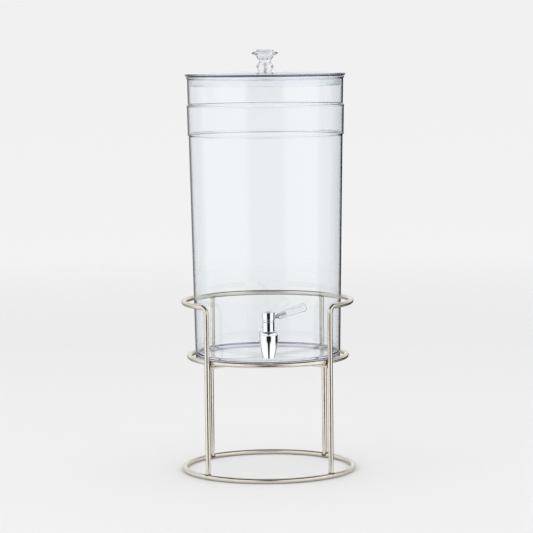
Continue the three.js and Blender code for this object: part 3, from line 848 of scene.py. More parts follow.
def carve(piece: bpy.types.Object, tool: bpy.types.Object) -> None:
    """Cuts a tool's shape out of a piece, and removes the tool.

    Args:
        piece: The object that is cut.
        tool: The object that cuts it.
    """
    cut = piece.modifiers.new("cut", "BOOLEAN")
    cut.operation = "DIFFERENCE"
    cut.solver = "EXACT"
    cut.object = tool
    bpy.context.view_layer.update()
    settled = piece.evaluated_get(bpy.context.evaluated_depsgraph_get())
    carved = bpy.data.meshes.new_from_object(settled)
    piece.modifiers.clear()
    old = piece.data
    piece.data = carved
    bpy.data.meshes.remove(old)
    bpy.data.objects.remove(tool)


def fit(form: Form, name: str, place: Matrix, finish: Finish, body: Body, node: str = "",
        shading: Shading = Shading.CRISP, cuts: Sequence[tuple[Form, Matrix]] = ()) -> None:
    """Makes a piece of a form, cuts and dresses it, and lets it ride on its body and stand for its node.

    Args:
        form: The piece's form.
        name: The piece's name.
        place: Where the form's own frame stands in the row frame, in millimetres.
        finish: The piece's finish.
        body: The body that it moves with.
        node: The CAD node that it replaces, if it stands for one.
        shading: How its faces are shaded.
        cuts: The forms that are cut out of it, and their places.
    """
    piece = form.object(name, place)
    shade(piece, shading)
    for tool, where in cuts:
        carve(piece, tool.object("tool", where))
        shade(piece, shading)
    piece.data.materials.clear()
    piece.data.materials.append(finish.material())
    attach(piece, body.value)
    piece.visible_shadow = piece.visible_diffuse = not isinstance(finish, ClearAcrylic)
    drift = 0.0
    if node:
        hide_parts(node)
        places = list(zip(*(corner.co for corner in piece.data.vertices)))
        box = [Vector(map(reach, places)) for reach in (min, max)]
        drift = max(abs(gap) for mine, cad in zip(box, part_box(node)) for gap in mine - Vector(cad)) / MM
    LOG.info("%s in %s on %s, %d faces, box within %.2f mm of its CAD node",
             name, finish.name, body.value, len(piece.data.polygons), drift)


# The stand


@dataclass
class Stand:
    """The stand of satin nickel rod: two full rings, an open hoop with its front legs, and a cross."""

    rod: float = 7.4
    bar: float = 5.0
    base_radius: float = 121.5
    leg_inset: float = 1.1
    front_angle: float = 46.0
    back_angle: float = 44.0
    hoop_height: float = 244.0
    bend_radius: float = 10.0
    shelf_height: float = 165.6
    foot_gap: float = 5.0
    bead: float = 1.1
    bar_bead: float = 0.77
    # Each wave of the bead's ripples has a height as a share of the bead, a pace and a start.
    ripples: tuple[tuple[float, float, float], ...] = ((0.16, 1.7, 0.0), (0.1, 4.1, 1.0))
    bead_corners: int = 40
    rod_clear: float = 1.6  # rods from a weld, where the search for it starts, as is the next
    bar_clear: float = 1.5
    search: Point = (14.0, 0.1)  # its length and step
    tack_length: float = 6.6
    tack_ends: float = 0.35
    tack_swell: float = 1.15
    tack_rise: float = 0.62
    hoop_steps: int = 144
    bend_steps: int = 14
    leg_steps: int = 12
    back_leg_steps: int = 16
    bar_steps: int = 8
    nickel: SatinNickelPlate = SatinNickelPlate()
    weld: WeldedNickelPaintedShade = WeldedNickelPaintedShade()

    def __post_init__(self) -> None:
        """Works out the sizes that follow from the others."""
        self.leg_radius = self.base_radius - self.leg_inset
        self.hoop_radius = math.sqrt(self.leg_radius ** 2 - self.bend_radius ** 2)
        self.hoop_end = math.radians(self.front_angle) + math.atan(self.bend_radius / self.hoop_radius)
        self.shelf_radius = self.leg_radius - self.rod - GAP
        self.bar_height = self.shelf_height - self.rod / 2 - GAP - self.bar / 2
        self.seat = self.bar_height + self.bar / 2 + GAP
        self.foot_radius = self.shelf_radius - self.rod / 2 - self.foot_gap
        self.place = Matrix.Translation(AXIS)

    def leg_foot(self, side: int, front: bool) -> Vector:
        """Gives the plan place of a leg.

        Args:
            side: -1 for the left, 1 for the right.
            front: Whether it is a front leg.

        Returns:
            The place, at the height of the cross.
        """
        angle = math.radians(self.front_angle) if front else math.pi - math.radians(self.back_angle)
        return on_plan(self.leg_radius, side * angle, self.bar_height)

    def front_leg(self, side: int) -> list[Vector]:
        """Draws a front leg and the bend that turns it into the hoop, from the foot upwards.

        Args:
            side: -1 for the left, 1 for the right.

        Returns:
            The points along its centre line.
        """
        angle = side * self.hoop_end
        inward = Vector((-side * math.cos(angle), -side * math.sin(angle), 0))
        centre = on_plan(self.hoop_radius, angle, self.hoop_height - self.bend_radius)
        bend = [centre + (inward * math.cos(turn) + UP * math.sin(turn)) * self.bend_radius
                for turn in (math.pi / 2 * share for share in shares(self.bend_steps))]
        return self.upright(bend[0], bend[0].z, self.leg_steps)[:-1] + bend

    def upright(self, foot: Vector, top: float, steps: int) -> list[Vector]:
        """Draws an upright rod from the base ring's middle height.

        Args:
            foot: Its plan place.
            top: Its upper end.
            steps: How many straight runs it has.

        Returns:
            The points along its centre line.
        """
        base = self.rod / 2
        return [Vector((foot.x, foot.y, base + (top - base) * share)) for share in shares(steps)]

    def saddle(self, start: Vector, way: Vector, radius: float,
               reach: Callable[[Vector], float]) -> list[Vector]:
        """Finds where the skin of a rod or bar meets the skin of the rod that it is welded to.

        Args:
            start: A place on its centre line, clear of the other rod.
            way: The direction towards the other rod.
            radius: Its radius.
            reach: Gives a point's distance from the other rod's centre line.

        Returns:
            The points of the closed line where they meet.
        """
        across = way.orthogonal().normalized()
        over = way.cross(across)
        length, pace = self.search
        line = []
        for angle in angles(self.bead_corners):
            skin = start + (across * math.cos(angle) + over * math.sin(angle)) * radius
            travel, nearest, best = 0.0, 0.0, math.inf
            while travel < length and best > self.rod / 2:
                gap = reach(skin + way * travel)
                if gap < best:
                    nearest, best = travel, gap
                travel += pace
            line.append(skin + way * nearest)
        return line

    def welds(self) -> Form:
        """Lays a bead round every place where rods are welded.

        Returns:
            The beads' form.
        """
        form = Form()
        rod = self.rod / 2
        base, hoop = (
            lambda point, ring=ring: math.hypot(math.hypot(point.x, point.y) - ring[0], point.z - ring[1])
            for ring in ((self.base_radius, rod), (self.hoop_radius, self.hoop_height)))
        beads = []
        for side, front in LEGS:
            foot = self.leg_foot(side, front)
            plan = Vector((foot.x, foot.y, 0))
            beads.append((self.saddle(plan + UP * self.rod * self.rod_clear, -UP, rod, base), self.bead))
            if not front:
                below = plan + UP * (self.hoop_height - self.rod)
                beads.append((self.saddle(below, UP, rod, hoop), self.bead))
            way = (foot - self.leg_foot(-side, not front)).normalized()
            line = self.saddle(foot - way * self.rod * self.bar_clear, way, self.bar / 2,
                               lambda point: math.dist(point.xy, plan.xy))
            beads.append((line, self.bar_bead))
        for line, size in beads:
            sizes = [size * (1 + sum(high * math.sin(pace * i + start) for high, pace, start in self.ripples))
                     for i in range(len(line))]
            form.sweep(line, sizes, Faces.BEAD, closed=True)
        for side, front in LEGS:
            foot = self.leg_foot(side, front)
            for way in (-1, 1):
                self.tack(form, math.atan2(foot.x, -foot.y), self.shelf_height + way * rod * self.tack_rise)
        return form

    def tack(self, form: Form, angle: float, height: float) -> None:
        """Lays the short bead between the shelf ring and a leg.

        Args:
            form: The beads' form.
            angle: The leg's angle from the front.
            height: The bead's height.
        """
        reach = self.shelf_radius + self.rod / 2 + GAP / 2
        spans = shares(Faces.TACK)
        path = [on_plan(reach, angle + (share - 0.5) * self.tack_length / reach, height) for share in spans]
        sizes = [self.tack_ends + self.tack_swell * math.sqrt(max(0.0, 1 - (2 * share - 1) ** 2))
                 for share in spans]
        form.sweep(path, sizes, Faces.TACK)

    def build(self) -> None:
        """Makes and dresses every piece of the stand."""
        rod = self.rod / 2
        pieces = [
            (node, Form().turn(arc(middle, rod, 0, 360, Faces.ROD)[:-1], Faces.RING, closed=True))
            for node, middle in (("base_ring", (self.base_radius, rod)),
                                 ("shelf_ring", (self.shelf_radius, self.shelf_height)))
        ]
        span = 2 * (math.pi - self.hoop_end)
        around = [on_plan(self.hoop_radius, -self.hoop_end - span * share, self.hoop_height)
                  for share in shares(self.hoop_steps)[1:-1]]
        hoop = self.front_leg(-1) + around + self.front_leg(1)[::-1]
        pieces.append(("guard_hoop", Form().sweep(hoop, rod, Faces.ROD)))
        for side, word in ((-1, "left"), (1, "right")):
            line = self.upright(self.leg_foot(side, False), self.hoop_height, self.back_leg_steps)
            pieces.append((f"back_leg_{word}", Form().sweep(line, rod, Faces.ROD)))
        start, end = self.leg_foot(-1, True), self.leg_foot(1, False)
        crossing = start.lerp(end, -start.x / (end.x - start.x))
        for node, one, two in (("cross_bar", start, end),
                               ("cross_bar_front_half", self.leg_foot(1, True), crossing),
                               ("cross_bar_back_half", self.leg_foot(-1, False), crossing)):
            line = [one.lerp(two, share) for share in shares(self.bar_steps)]
            pieces.append((node, Form().sweep(line, self.bar / 2, Faces.BAR)))
        for node, form in pieces:
            fit(form, f"{node}_rod", self.place, self.nickel, Body.STAND, node, Shading.SOFT)
        # The beads' dark finish is partly painted shade where the rods meet.
        fit(self.welds(), "weld_beads", self.place, self.weld, Body.STAND, shading=Shading.SOFT)


# The tank


@dataclass
class Tank:
    """The clear tank: one moulding with a beaded rim, a raised band between two beads and a thick floor."""

    place: Matrix
    foot_radius: float
    height: float = 404.5
    flare: float = 7.4
    wall: float = 3.0
    floor: float = 6.0
    foot_round: float = 3.0
    floor_round: float = 6.0
    rim_round: float = 1.2
    rim_bead: float = 1.6
    band_drop: float = 41.6
    band_width: float = 40.3
    band_rise: float = 1.4
    bead: float = 1.9
    bead_turn: float = 78.0
    bead_lead: float = 1.2
    bead_steps: int = 12
    floor_steps: int = 10
    tap_height: float = 45.1
    tap_reach: float = 30.0
    tap_hole: float = 8.0
    drill_span: Point = (-4.0, 9.0)  # where the drill starts and ends, from the wall's face
    # Heights of the wall's extra rings in the mesh, the first ones from the tap's height.
    tap_rings: tuple[float, ...] = (-17.0, -10.0, 10.0, 17.0)
    low_ring: float = 12.0
    high_rings: tuple[float, ...] = (90.0, 160.0, 240.0)
    acrylic: ClearAcrylic = ClearAcrylic()

    def __post_init__(self) -> None:
        """Works out the sizes that follow from the others."""
        self.rim_radius = self.foot_radius + self.flare
        self.mouth_radius = self.rim_radius - self.wall
        self.tap_distance = self.skin(self.tap_height) + self.tap_reach

    def skin(self, height: float) -> float:
        """Gives the outer radius of the plain wall at a height over the foot."""
        return self.foot_radius + self.flare * height / self.height

    def outline(self) -> list[Point]:
        """Draws the tank's section, from the foot's middle up outside and down inside.

        Returns:
            The points along it.
        """
        top = self.height - self.band_drop
        bottom = top - self.band_width
        meet = math.degrees(math.acos(self.band_rise / self.bead))
        fillet = self.floor + self.floor_round
        stations = [self.low_ring, *(self.tap_height + rise for rise in self.tap_rings), *self.high_rings]
        inside = [(self.skin(h) - self.wall, h) for h in reversed(stations) if h > fillet]
        toe, heel, lip = self.foot_round, self.rim_round, self.rim_bead
        lead, turn, steps = self.bead_lead, self.bead_turn, self.bead_steps
        return [
            (0, 0),
            (self.foot_radius / 2, 0),
            *arc((self.skin(toe) - toe, toe), toe, -90, 0),
            *((self.skin(h), h) for h in stations),
            (self.skin(bottom), bottom - self.bead - lead),
            *arc((self.skin(bottom), bottom), self.bead, -turn, meet, steps),
            *arc((self.skin(top), top), self.bead, -meet, turn, steps),
            (self.skin(top), top + self.bead + lead),
            (self.rim_radius, self.height - 2 * lip - lead),
            *arc((self.rim_radius, self.height - lip), lip, -turn, 90, steps),
            *arc((self.mouth_radius + heel, self.height - heel), heel, 90, 180),
            (self.skin(top) - self.wall, top),
            *inside,
            *arc((self.skin(fillet) - self.wall - self.floor_round, fillet), self.floor_round, 0, -90,
                 self.floor_steps),
            (self.foot_radius / 2, self.floor),
            (0, self.floor),
        ]

    def build(self) -> None:
        """Makes and dresses the tank, with the hole for the tap."""
        along = self.place @ Matrix.Translation((0, -self.tap_distance, self.tap_height)) @ ALONG_Y
        drill = post(self.tap_hole, *(self.tap_reach + end for end in self.drill_span))
        fit(Form().turn(self.outline(), Faces.MOULDING), "tank_moulding", self.place, self.acrylic, Body.TANK,
            "tank", cuts=[(Form().turn(drill, Faces.WASHER), along)])


# The tap


@dataclass
class Screw:
    """A pan-head screw about an upright axis, with a cross recess and a thread.

    Flat top, crown and recess are given as shares of the head's radius and height, and tip, root, ridge
    and run-out as shares of the shank's radius.
    """

    radius: float
    length: float
    head_radius: float
    head_height: float
    pitch: float
    flat_top: float = 0.55
    crown: Point = (0.95, 0.3)
    crown_steps: int = 8
    tip: float = 0.5
    root: float = 0.86
    ridge: float = 0.2
    run_out: float = 0.6
    neck: float = 0.4
    recess: tuple[float, float, float] = (1.1, 0.24, 1.1)
    recess_middle: float = 1.1

    def fit(self, name: str, place: Matrix, finish: Finish, body: Body, node: str) -> None:
        """Makes and dresses the screw with its head up.

        Args:
            name: The piece's name.
            place: The matrix that puts the head's bearing face at the origin of its axis.
            finish: Its finish.
            body: The body that it moves with.
            node: The CAD node that it replaces.
        """
        head, wide, thick = self.head_height, self.head_radius, self.radius
        top = (wide * self.flat_top, head)
        outline = [
            (0, head), top, *bezier([top, *((wide, head * share) for share in self.crown)], self.crown_steps),
            (wide, 0), (thick, 0), (thick, -self.length + thick * self.tip), (thick * self.tip, -self.length),
            (0, -self.length),
        ]
        form = Form().turn(outline, Faces.SCREW)
        form.thread(thick * self.root, thick * self.ridge, self.pitch, -self.length + thick * self.run_out,
                    -self.neck)
        long, broad, deep = self.recess
        size = Matrix.Diagonal((wide * long, wide * broad, head * deep, 1))
        middle = Matrix.Translation((0, 0, head * self.recess_middle))
        cuts = []
        for turn in (0.0, math.pi / 2):
            blade = Form()
            bmesh.ops.create_cube(blade.mesh, size=1.0, matrix=middle @ size)
            cuts.append((blade, place @ Matrix.Rotation(turn, 4, "Z")))
        fit(form, name, place, finish, body, node, cuts=cuts)


@dataclass
class Tap:
    """The chromed lever tap: a bell with neck, arm, flange and threaded shank, sealed through the wall."""

    tank: Tank
    outlet_radius: float = 8.5
    outlet_drop: float = 27.9
    outlet_bore: float = 6.6
    outlet_lip: float = 0.45
    outlet_turn: float = -15.0
    throat: float = 5.0
    bell_radius: float = 13.4
    bell_swell: Point = (0.36, 0.66)
    bell_waist: float = 0.34
    shoulder: float = 2.7
    neck_radius: float = 8.7
    neck_foot: float = 9.5
    neck_top: float = 22.4
    arm_radius: float = 7.4
    arm_start: float = 0.6
    arm_flare: float = 4.0
    flange_radius: float = 15.3
    flange_thickness: float = 2.6
    flange_edge: float = 2.2
    shank_radius: float = 7.7
    shank_bore: float = 4.0
    shank_tail: float = 6.0
    shank_chamfer: float = 0.7
    thread_depth: float = 0.55
    thread_pitch: float = 1.5
    thread_start: Point = (1.2, 1.8)  # behind the flange, where the shank narrows to the thread's root
    thread_tail: float = 0.2
    edge: float = 0.4
    gasket_radius: float = 14.0
    gasket_thickness: float = 2.5
    nut_flats: float = 24.0
    nut_thickness: float = 8.0
    nut_chamfer: float = 1.4
    nut_edge: float = 0.5
    valve_bore: float = 5.8
    valve_seat: float = 14.0
    bell_steps: int = 28
    neck_steps: int = 20
    flange_steps: int = 12
    edge_steps: int = 4
    merge: float = 1e-4
    chrome: PolishedChrome = PolishedChrome()
    silicone: ClearSilicone = ClearSilicone()
    steel: TurnedStainless = TurnedStainless()

    def __post_init__(self) -> None:
        """Works out the sizes that follow from the others."""
        tank = self.tank
        self.place = tank.place @ Matrix.Translation((0, -tank.tap_distance, tank.tap_height))
        self.flange_back = tank.tap_reach - GAP - self.gasket_thickness - GAP
        self.nut_face = tank.tap_reach + tank.wall + GAP + self.gasket_thickness + GAP
        self.shank_end = self.nut_face + self.nut_thickness + self.shank_tail
        self.shank_root = self.shank_radius - self.thread_depth

    def bell_outline(self) -> list[Point]:
        """Draws the bell's section, from the outlet's lip up outside and down the valve's bore.

        Returns:
            The points along it.
        """
        spread = self.bell_radius - self.outlet_radius
        drop, lip, edge = self.outlet_drop, self.outlet_lip, self.edge
        wide, rise = self.bell_swell
        neck = self.neck_radius
        return [
            (self.outlet_bore + EDGE, -drop),
            *arc((self.outlet_radius - lip, lip - drop), lip, -90, self.outlet_turn, self.edge_steps),
            *bezier([(self.outlet_radius, lip - drop), (self.outlet_radius + spread * wide, -drop * rise),
                     (self.bell_radius, -drop * self.bell_waist), (self.bell_radius, 0)],
                    self.bell_steps)[1:],
            *bezier([(self.bell_radius, self.shoulder), (self.bell_radius, self.neck_foot),
                     (neck, self.neck_foot)], self.neck_steps),
            (neck, self.neck_top - edge),
            *arc((neck - edge, self.neck_top - edge), edge, 0, 90, self.edge_steps)[1:],
            (self.valve_bore, self.neck_top),
            (self.valve_bore, -self.valve_seat),
            (self.throat, -self.valve_seat),
            (self.outlet_bore, EDGE - drop),
        ]

    def arm_outline(self) -> list[Point]:
        """Draws the section of arm, flange and shank, along the shank's axis.

        Returns:
            The points along it.
        """
        back, end, root, steps = self.flange_back, self.shank_end, self.shank_root, self.flange_steps
        front = back - self.flange_thickness
        start = self.valve_bore + self.arm_start
        flare, edge = self.arm_flare, self.flange_edge
        return [
            (self.shank_bore, start),
            (self.arm_radius, start),
            *arc((self.arm_radius + flare, front - flare), flare, 180, 90, steps),
            *arc((self.flange_radius - edge, front + edge), edge, -90, 0, steps),
            *arc((self.flange_radius - EDGE, back - EDGE), EDGE, 0, 90, self.edge_steps),
            (self.shank_radius, back),
            (self.shank_radius, back + self.thread_start[0]),
            (root, back + self.thread_start[1]),
            (root, end - self.shank_chamfer),
            (root - self.shank_chamfer, end),
            (self.shank_bore + self.edge, end),
            (self.shank_bore, end - self.edge),
        ]

    def wall_gap(self, x: float, z: float, offset: float) -> float:
        """Gives how far the wall's face lies behind the tap's upright axis.

        Args:
            x: The place across.
            z: The height over the shank.
            offset: How far the face is moved out of the wall.

        Returns:
            The distance along +Y.
        """
        radius = self.tank.skin(self.tank.tap_height + z) + offset
        return self.tank.tap_distance - math.sqrt(radius ** 2 - x ** 2)

    def gaskets(self) -> None:
        """Makes and dresses the two silicone washers, each shaped to the wall's curve on one side."""
        hole, rim, edge = self.shank_radius + GAP, self.gasket_radius, self.edge
        section = [(hole, edge), (hole + edge, 0), ((hole + rim) / 2, 0), (rim - edge, 0), (rim, edge)]
        for node, flat, offset in (("outer_gasket", self.flange_back + GAP, GAP),
                                   ("inner_gasket", self.nut_face - GAP, -self.tank.wall - GAP)):
            rings = []
            for curved in (False, True):
                for radius, inset in (section[::-1] if curved else section):
                    ring = []
                    for angle in angles(Faces.WASHER):
                        x, z = radius * math.cos(angle), radius * math.sin(angle)
                        wall = self.wall_gap(x, z, offset)
                        face, other = (wall, flat) if curved else (flat, wall)
                        ring.append((x, face - inset if face > other else face + inset, z))
                    rings.append(ring)
            form = Form()
            form.loft(rings, closed=True)
            fit(form, f"{node}_washer", self.place, self.silicone, Body.TANK, node, Shading.SOFT)

    def nut(self) -> None:
        """Makes and dresses the hexagon nut, whose corners are turned off on both faces."""
        flats, half, edge = self.nut_flats / 2, self.nut_thickness / 2, self.nut_edge
        chamfer = flats / math.cos(math.pi / 6) - self.nut_chamfer
        bore = self.shank_radius + GAP
        columns = []
        for angle in angles(Faces.NUT):
            reach = flats / math.cos((angle + math.pi / 6) % (math.pi / 3) - math.pi / 6)
            cut = max(0.0, reach - chamfer) / 2
            face = [(bore, half - edge), (bore + edge, half), (min(reach, chamfer), half),
                    (reach, half - cut)]
            profile = [(radius, -along) for radius, along in face] + face[::-1]
            columns.append([polar(radius, angle, along) for radius, along in profile])
        form = Form()
        form.loft(zip(*columns), closed=True)
        bmesh.ops.remove_doubles(form.mesh, verts=form.mesh.verts, dist=self.merge)
        middle = Matrix.Translation((0, self.nut_face + half, 0))
        place = self.place @ middle @ ALONG_Y @ Matrix.Rotation(math.pi / 2, 4, "Z")
        fit(form, "shank_nut_hexagon", place, self.steel, Body.TANK, "shank_nut")

    def build(self) -> None:
        """Makes and dresses the pieces that stay on the tank."""
        form = Form().turn(self.bell_outline(), Faces.BELL, closed=True)
        form.turn(self.arm_outline(), Faces.ARM, ALONG_Y, closed=True)
        form.thread(self.shank_root, self.thread_depth, self.thread_pitch,
                    self.flange_back + self.thread_start[0], self.shank_end - self.thread_tail, ALONG_Y)
        fit(form, "tap_body_bell", self.place, self.chrome, Body.TANK, "tap_body")
        self.gaskets()
        self.nut()


@dataclass
class TapHandle:
    """What turns in the tap: plug and seals inside, hub, screw, stud and the clear lever outside."""

    tap: Tap
    hub_radius: float = 9.4
    hub_height: float = 13.4
    hub_foot: float = 2.6
    hub_edge: float = 0.7
    hub_step: float = 0.1
    hub_steps: int = 8
    drive: float = 8.0
    web: float = 2.2
    screw_radius: float = 1.5
    screw_length: float = 7.5
    screw_head_radius: float = 3.6
    screw_head: float = 2.4
    screw_pitch: float = 0.7
    rise: float = 18.6
    root_height: float = 25.7
    stud_radius: float = 2.5
    stud_start: float = 5.6
    stud_end: float = 26.0
    stud_edge: float = 0.4
    stud_tip: float = 0.5
    stud_depth: float = 0.35
    stud_pitch: float = 0.8
    stud_run_out: Point = (0.2, 0.3)
    collar_start: float = 13.0
    collar_length: float = 1.7
    collar_radius: float = 4.1
    lever_length: float = 40.3
    lever_root: float = 5.0
    lever_tip: float = 6.2
    lever_bend: float = 0.87
    lever_top: float = 0.3
    lever_edge: float = 0.7
    lever_steps: int = 6
    tip_steps: int = 8
    sides: int = 8
    facet_edge: tuple[float, float, int] = (0.3, 18.0, 2)  # width, least angle and faces round it
    bore_start: float = 2.0
    bore_end: float = 0.5
    bore_tip: float = 1.4
    seal_radius: float = 0.75
    seal_gap: float = 0.2
    seal_height: float = 9.0
    acrylic: CutAcrylic = CutAcrylic()
    nylon: TurnedNylon = TurnedNylon()
    rubber: BlackRubber = BlackRubber()

    def __post_init__(self) -> None:
        """Works out the sizes that follow from the others."""
        self.foot = self.tap.neck_top + GAP
        self.top = self.foot + self.hub_height
        self.socket_top = self.tap.neck_top + self.drive + GAP
        self.bearing = self.socket_top + self.web
        self.collar_end = self.collar_start + self.collar_length
        tilt = Matrix.Rotation(-math.radians(self.rise), 4, "Y") @ Matrix.Rotation(math.pi / 2, 4, "Y")
        self.lever_place = self.tap.place @ Matrix.Translation((0, 0, self.root_height)) @ tilt

    def hub(self) -> None:
        """Makes and dresses the chromed cap, open at its top for the screw and at its side for the stud."""
        neck, edge, step, wide = self.tap.neck_radius, self.hub_edge, self.hub_step, self.hub_radius
        screw_hole = self.screw_radius + GAP
        head_hole = self.screw_head_radius + GAP
        socket = head_hole - self.tap.edge
        shelf = self.foot + self.hub_foot
        outline = [
            (socket, self.foot), (neck - EDGE, self.foot), (neck, self.foot + EDGE), (neck, shelf),
            (wide - step, shelf + edge - step), (wide, shelf + edge + step),
            *arc((wide - edge, self.top - edge), edge, 0, 90, self.hub_steps),
            (head_hole + EDGE, self.top), (head_hole, self.top - EDGE), (head_hole, self.bearing),
            (screw_hole, self.bearing), (screw_hole, self.socket_top), (socket, self.socket_top),
        ]
        hole = post(self.stud_radius + GAP, self.stud_start - GAP, self.collar_start)
        fit(Form().turn(outline, Faces.BELL, closed=True), "tap_hub_cap", self.tap.place, self.tap.chrome,
            Body.HANDLE, "tap_hub", cuts=[(Form().turn(hole, Faces.STUD), self.lever_place)])

    def stud(self) -> None:
        """Makes and dresses the threaded stud with its collar."""
        radius, root, tip = self.stud_radius, self.stud_radius - self.stud_depth, self.stud_tip
        start, collar, end, wide = self.stud_start, self.collar_start, self.collar_end, self.collar_radius
        outline = [
            (0, start), (root, start), (radius, start + self.stud_edge), (radius, collar),
            (wide - EDGE, collar), (wide, collar + EDGE), (wide, end - EDGE), (wide - EDGE, end), (root, end),
            (root, self.stud_end - tip), (root - tip, self.stud_end), (0, self.stud_end),
        ]
        after, before = self.stud_run_out
        form = Form().turn(outline, Faces.STUD)
        form.thread(root, self.stud_depth, self.stud_pitch, end + after, self.stud_end - before)
        fit(form, "lever_stud_thread", self.lever_place, self.tap.chrome, Body.HANDLE, "lever_stud")

    def lever(self) -> None:
        """Makes and dresses the clear lever: eight flats that spread towards a domed end, and a bore."""
        start, root, tip = self.collar_end + GAP, self.lever_root, self.lever_tip
        end = start + self.lever_length
        bend = start + self.lever_length * self.lever_bend
        first = start + self.lever_edge
        body = [(root + (tip - root) * share, first + (bend - first) * share)
                for share in shares(self.lever_steps)[:-1]]
        dome = bezier([(tip, bend), (tip, end), (tip * self.lever_top, end)], self.tip_steps)
        outline = [(0, start), (root - self.lever_edge, start), *body, *dome, (0, end)]
        turned = self.lever_place @ Matrix.Rotation(math.pi / self.sides, 4, "Z")
        hole, deep = self.stud_radius + GAP, self.stud_end + GAP
        bore = [(0, start - self.bore_start), (hole, start - self.bore_start), (hole, deep - self.bore_end),
                (hole - self.bore_tip, deep), (0, deep)]
        fit(Form().turn(outline, self.sides).soften(*self.facet_edge), "tap_lever_octagon", turned,
            self.acrylic, Body.HANDLE, "tap_lever", cuts=[(Form().turn(bore, Faces.STUD), self.lever_place)])

    def inside(self, plug: bpy.types.Object) -> None:
        """Dresses the turned plug, and makes and dresses the two O-rings.

        Args:
            plug: The plug's own CAD object.
        """
        plug.data.materials.clear()
        plug.data.materials.append(self.nylon.material())
        shade(plug, Shading.CRISP)
        LOG.info("valve_plug keeps its CAD shape, in %s", self.nylon.name)
        middle = self.tap.valve_bore - self.seal_gap - self.seal_radius
        for node, height in (("upper_o_ring", self.seal_height), ("lower_o_ring", -self.seal_height)):
            outline = arc((middle, height), self.seal_radius, 0, 360, Faces.BAR)[:-1]
            fit(Form().turn(outline, Faces.SEAL, closed=True), f"{node}_seal", self.tap.place, self.rubber,
                Body.HANDLE, node, Shading.SOFT)

    def build(self, nodes: dict[str, bpy.types.Object]) -> None:
        """Makes and dresses the pieces that turn.

        Args:
            nodes: The CAD nodes by name.
        """
        self.inside(nodes["valve_plug"])
        self.hub()
        screw = Screw(self.screw_radius, self.screw_length, self.screw_head_radius, self.screw_head,
                      self.screw_pitch)
        place = self.tap.place @ Matrix.Translation((0, 0, self.bearing + GAP))
        screw.fit("hub_screw_pan_head", place, self.tap.steel, Body.HANDLE, "hub_screw")
        self.stud()
        self.lever()


# The lid


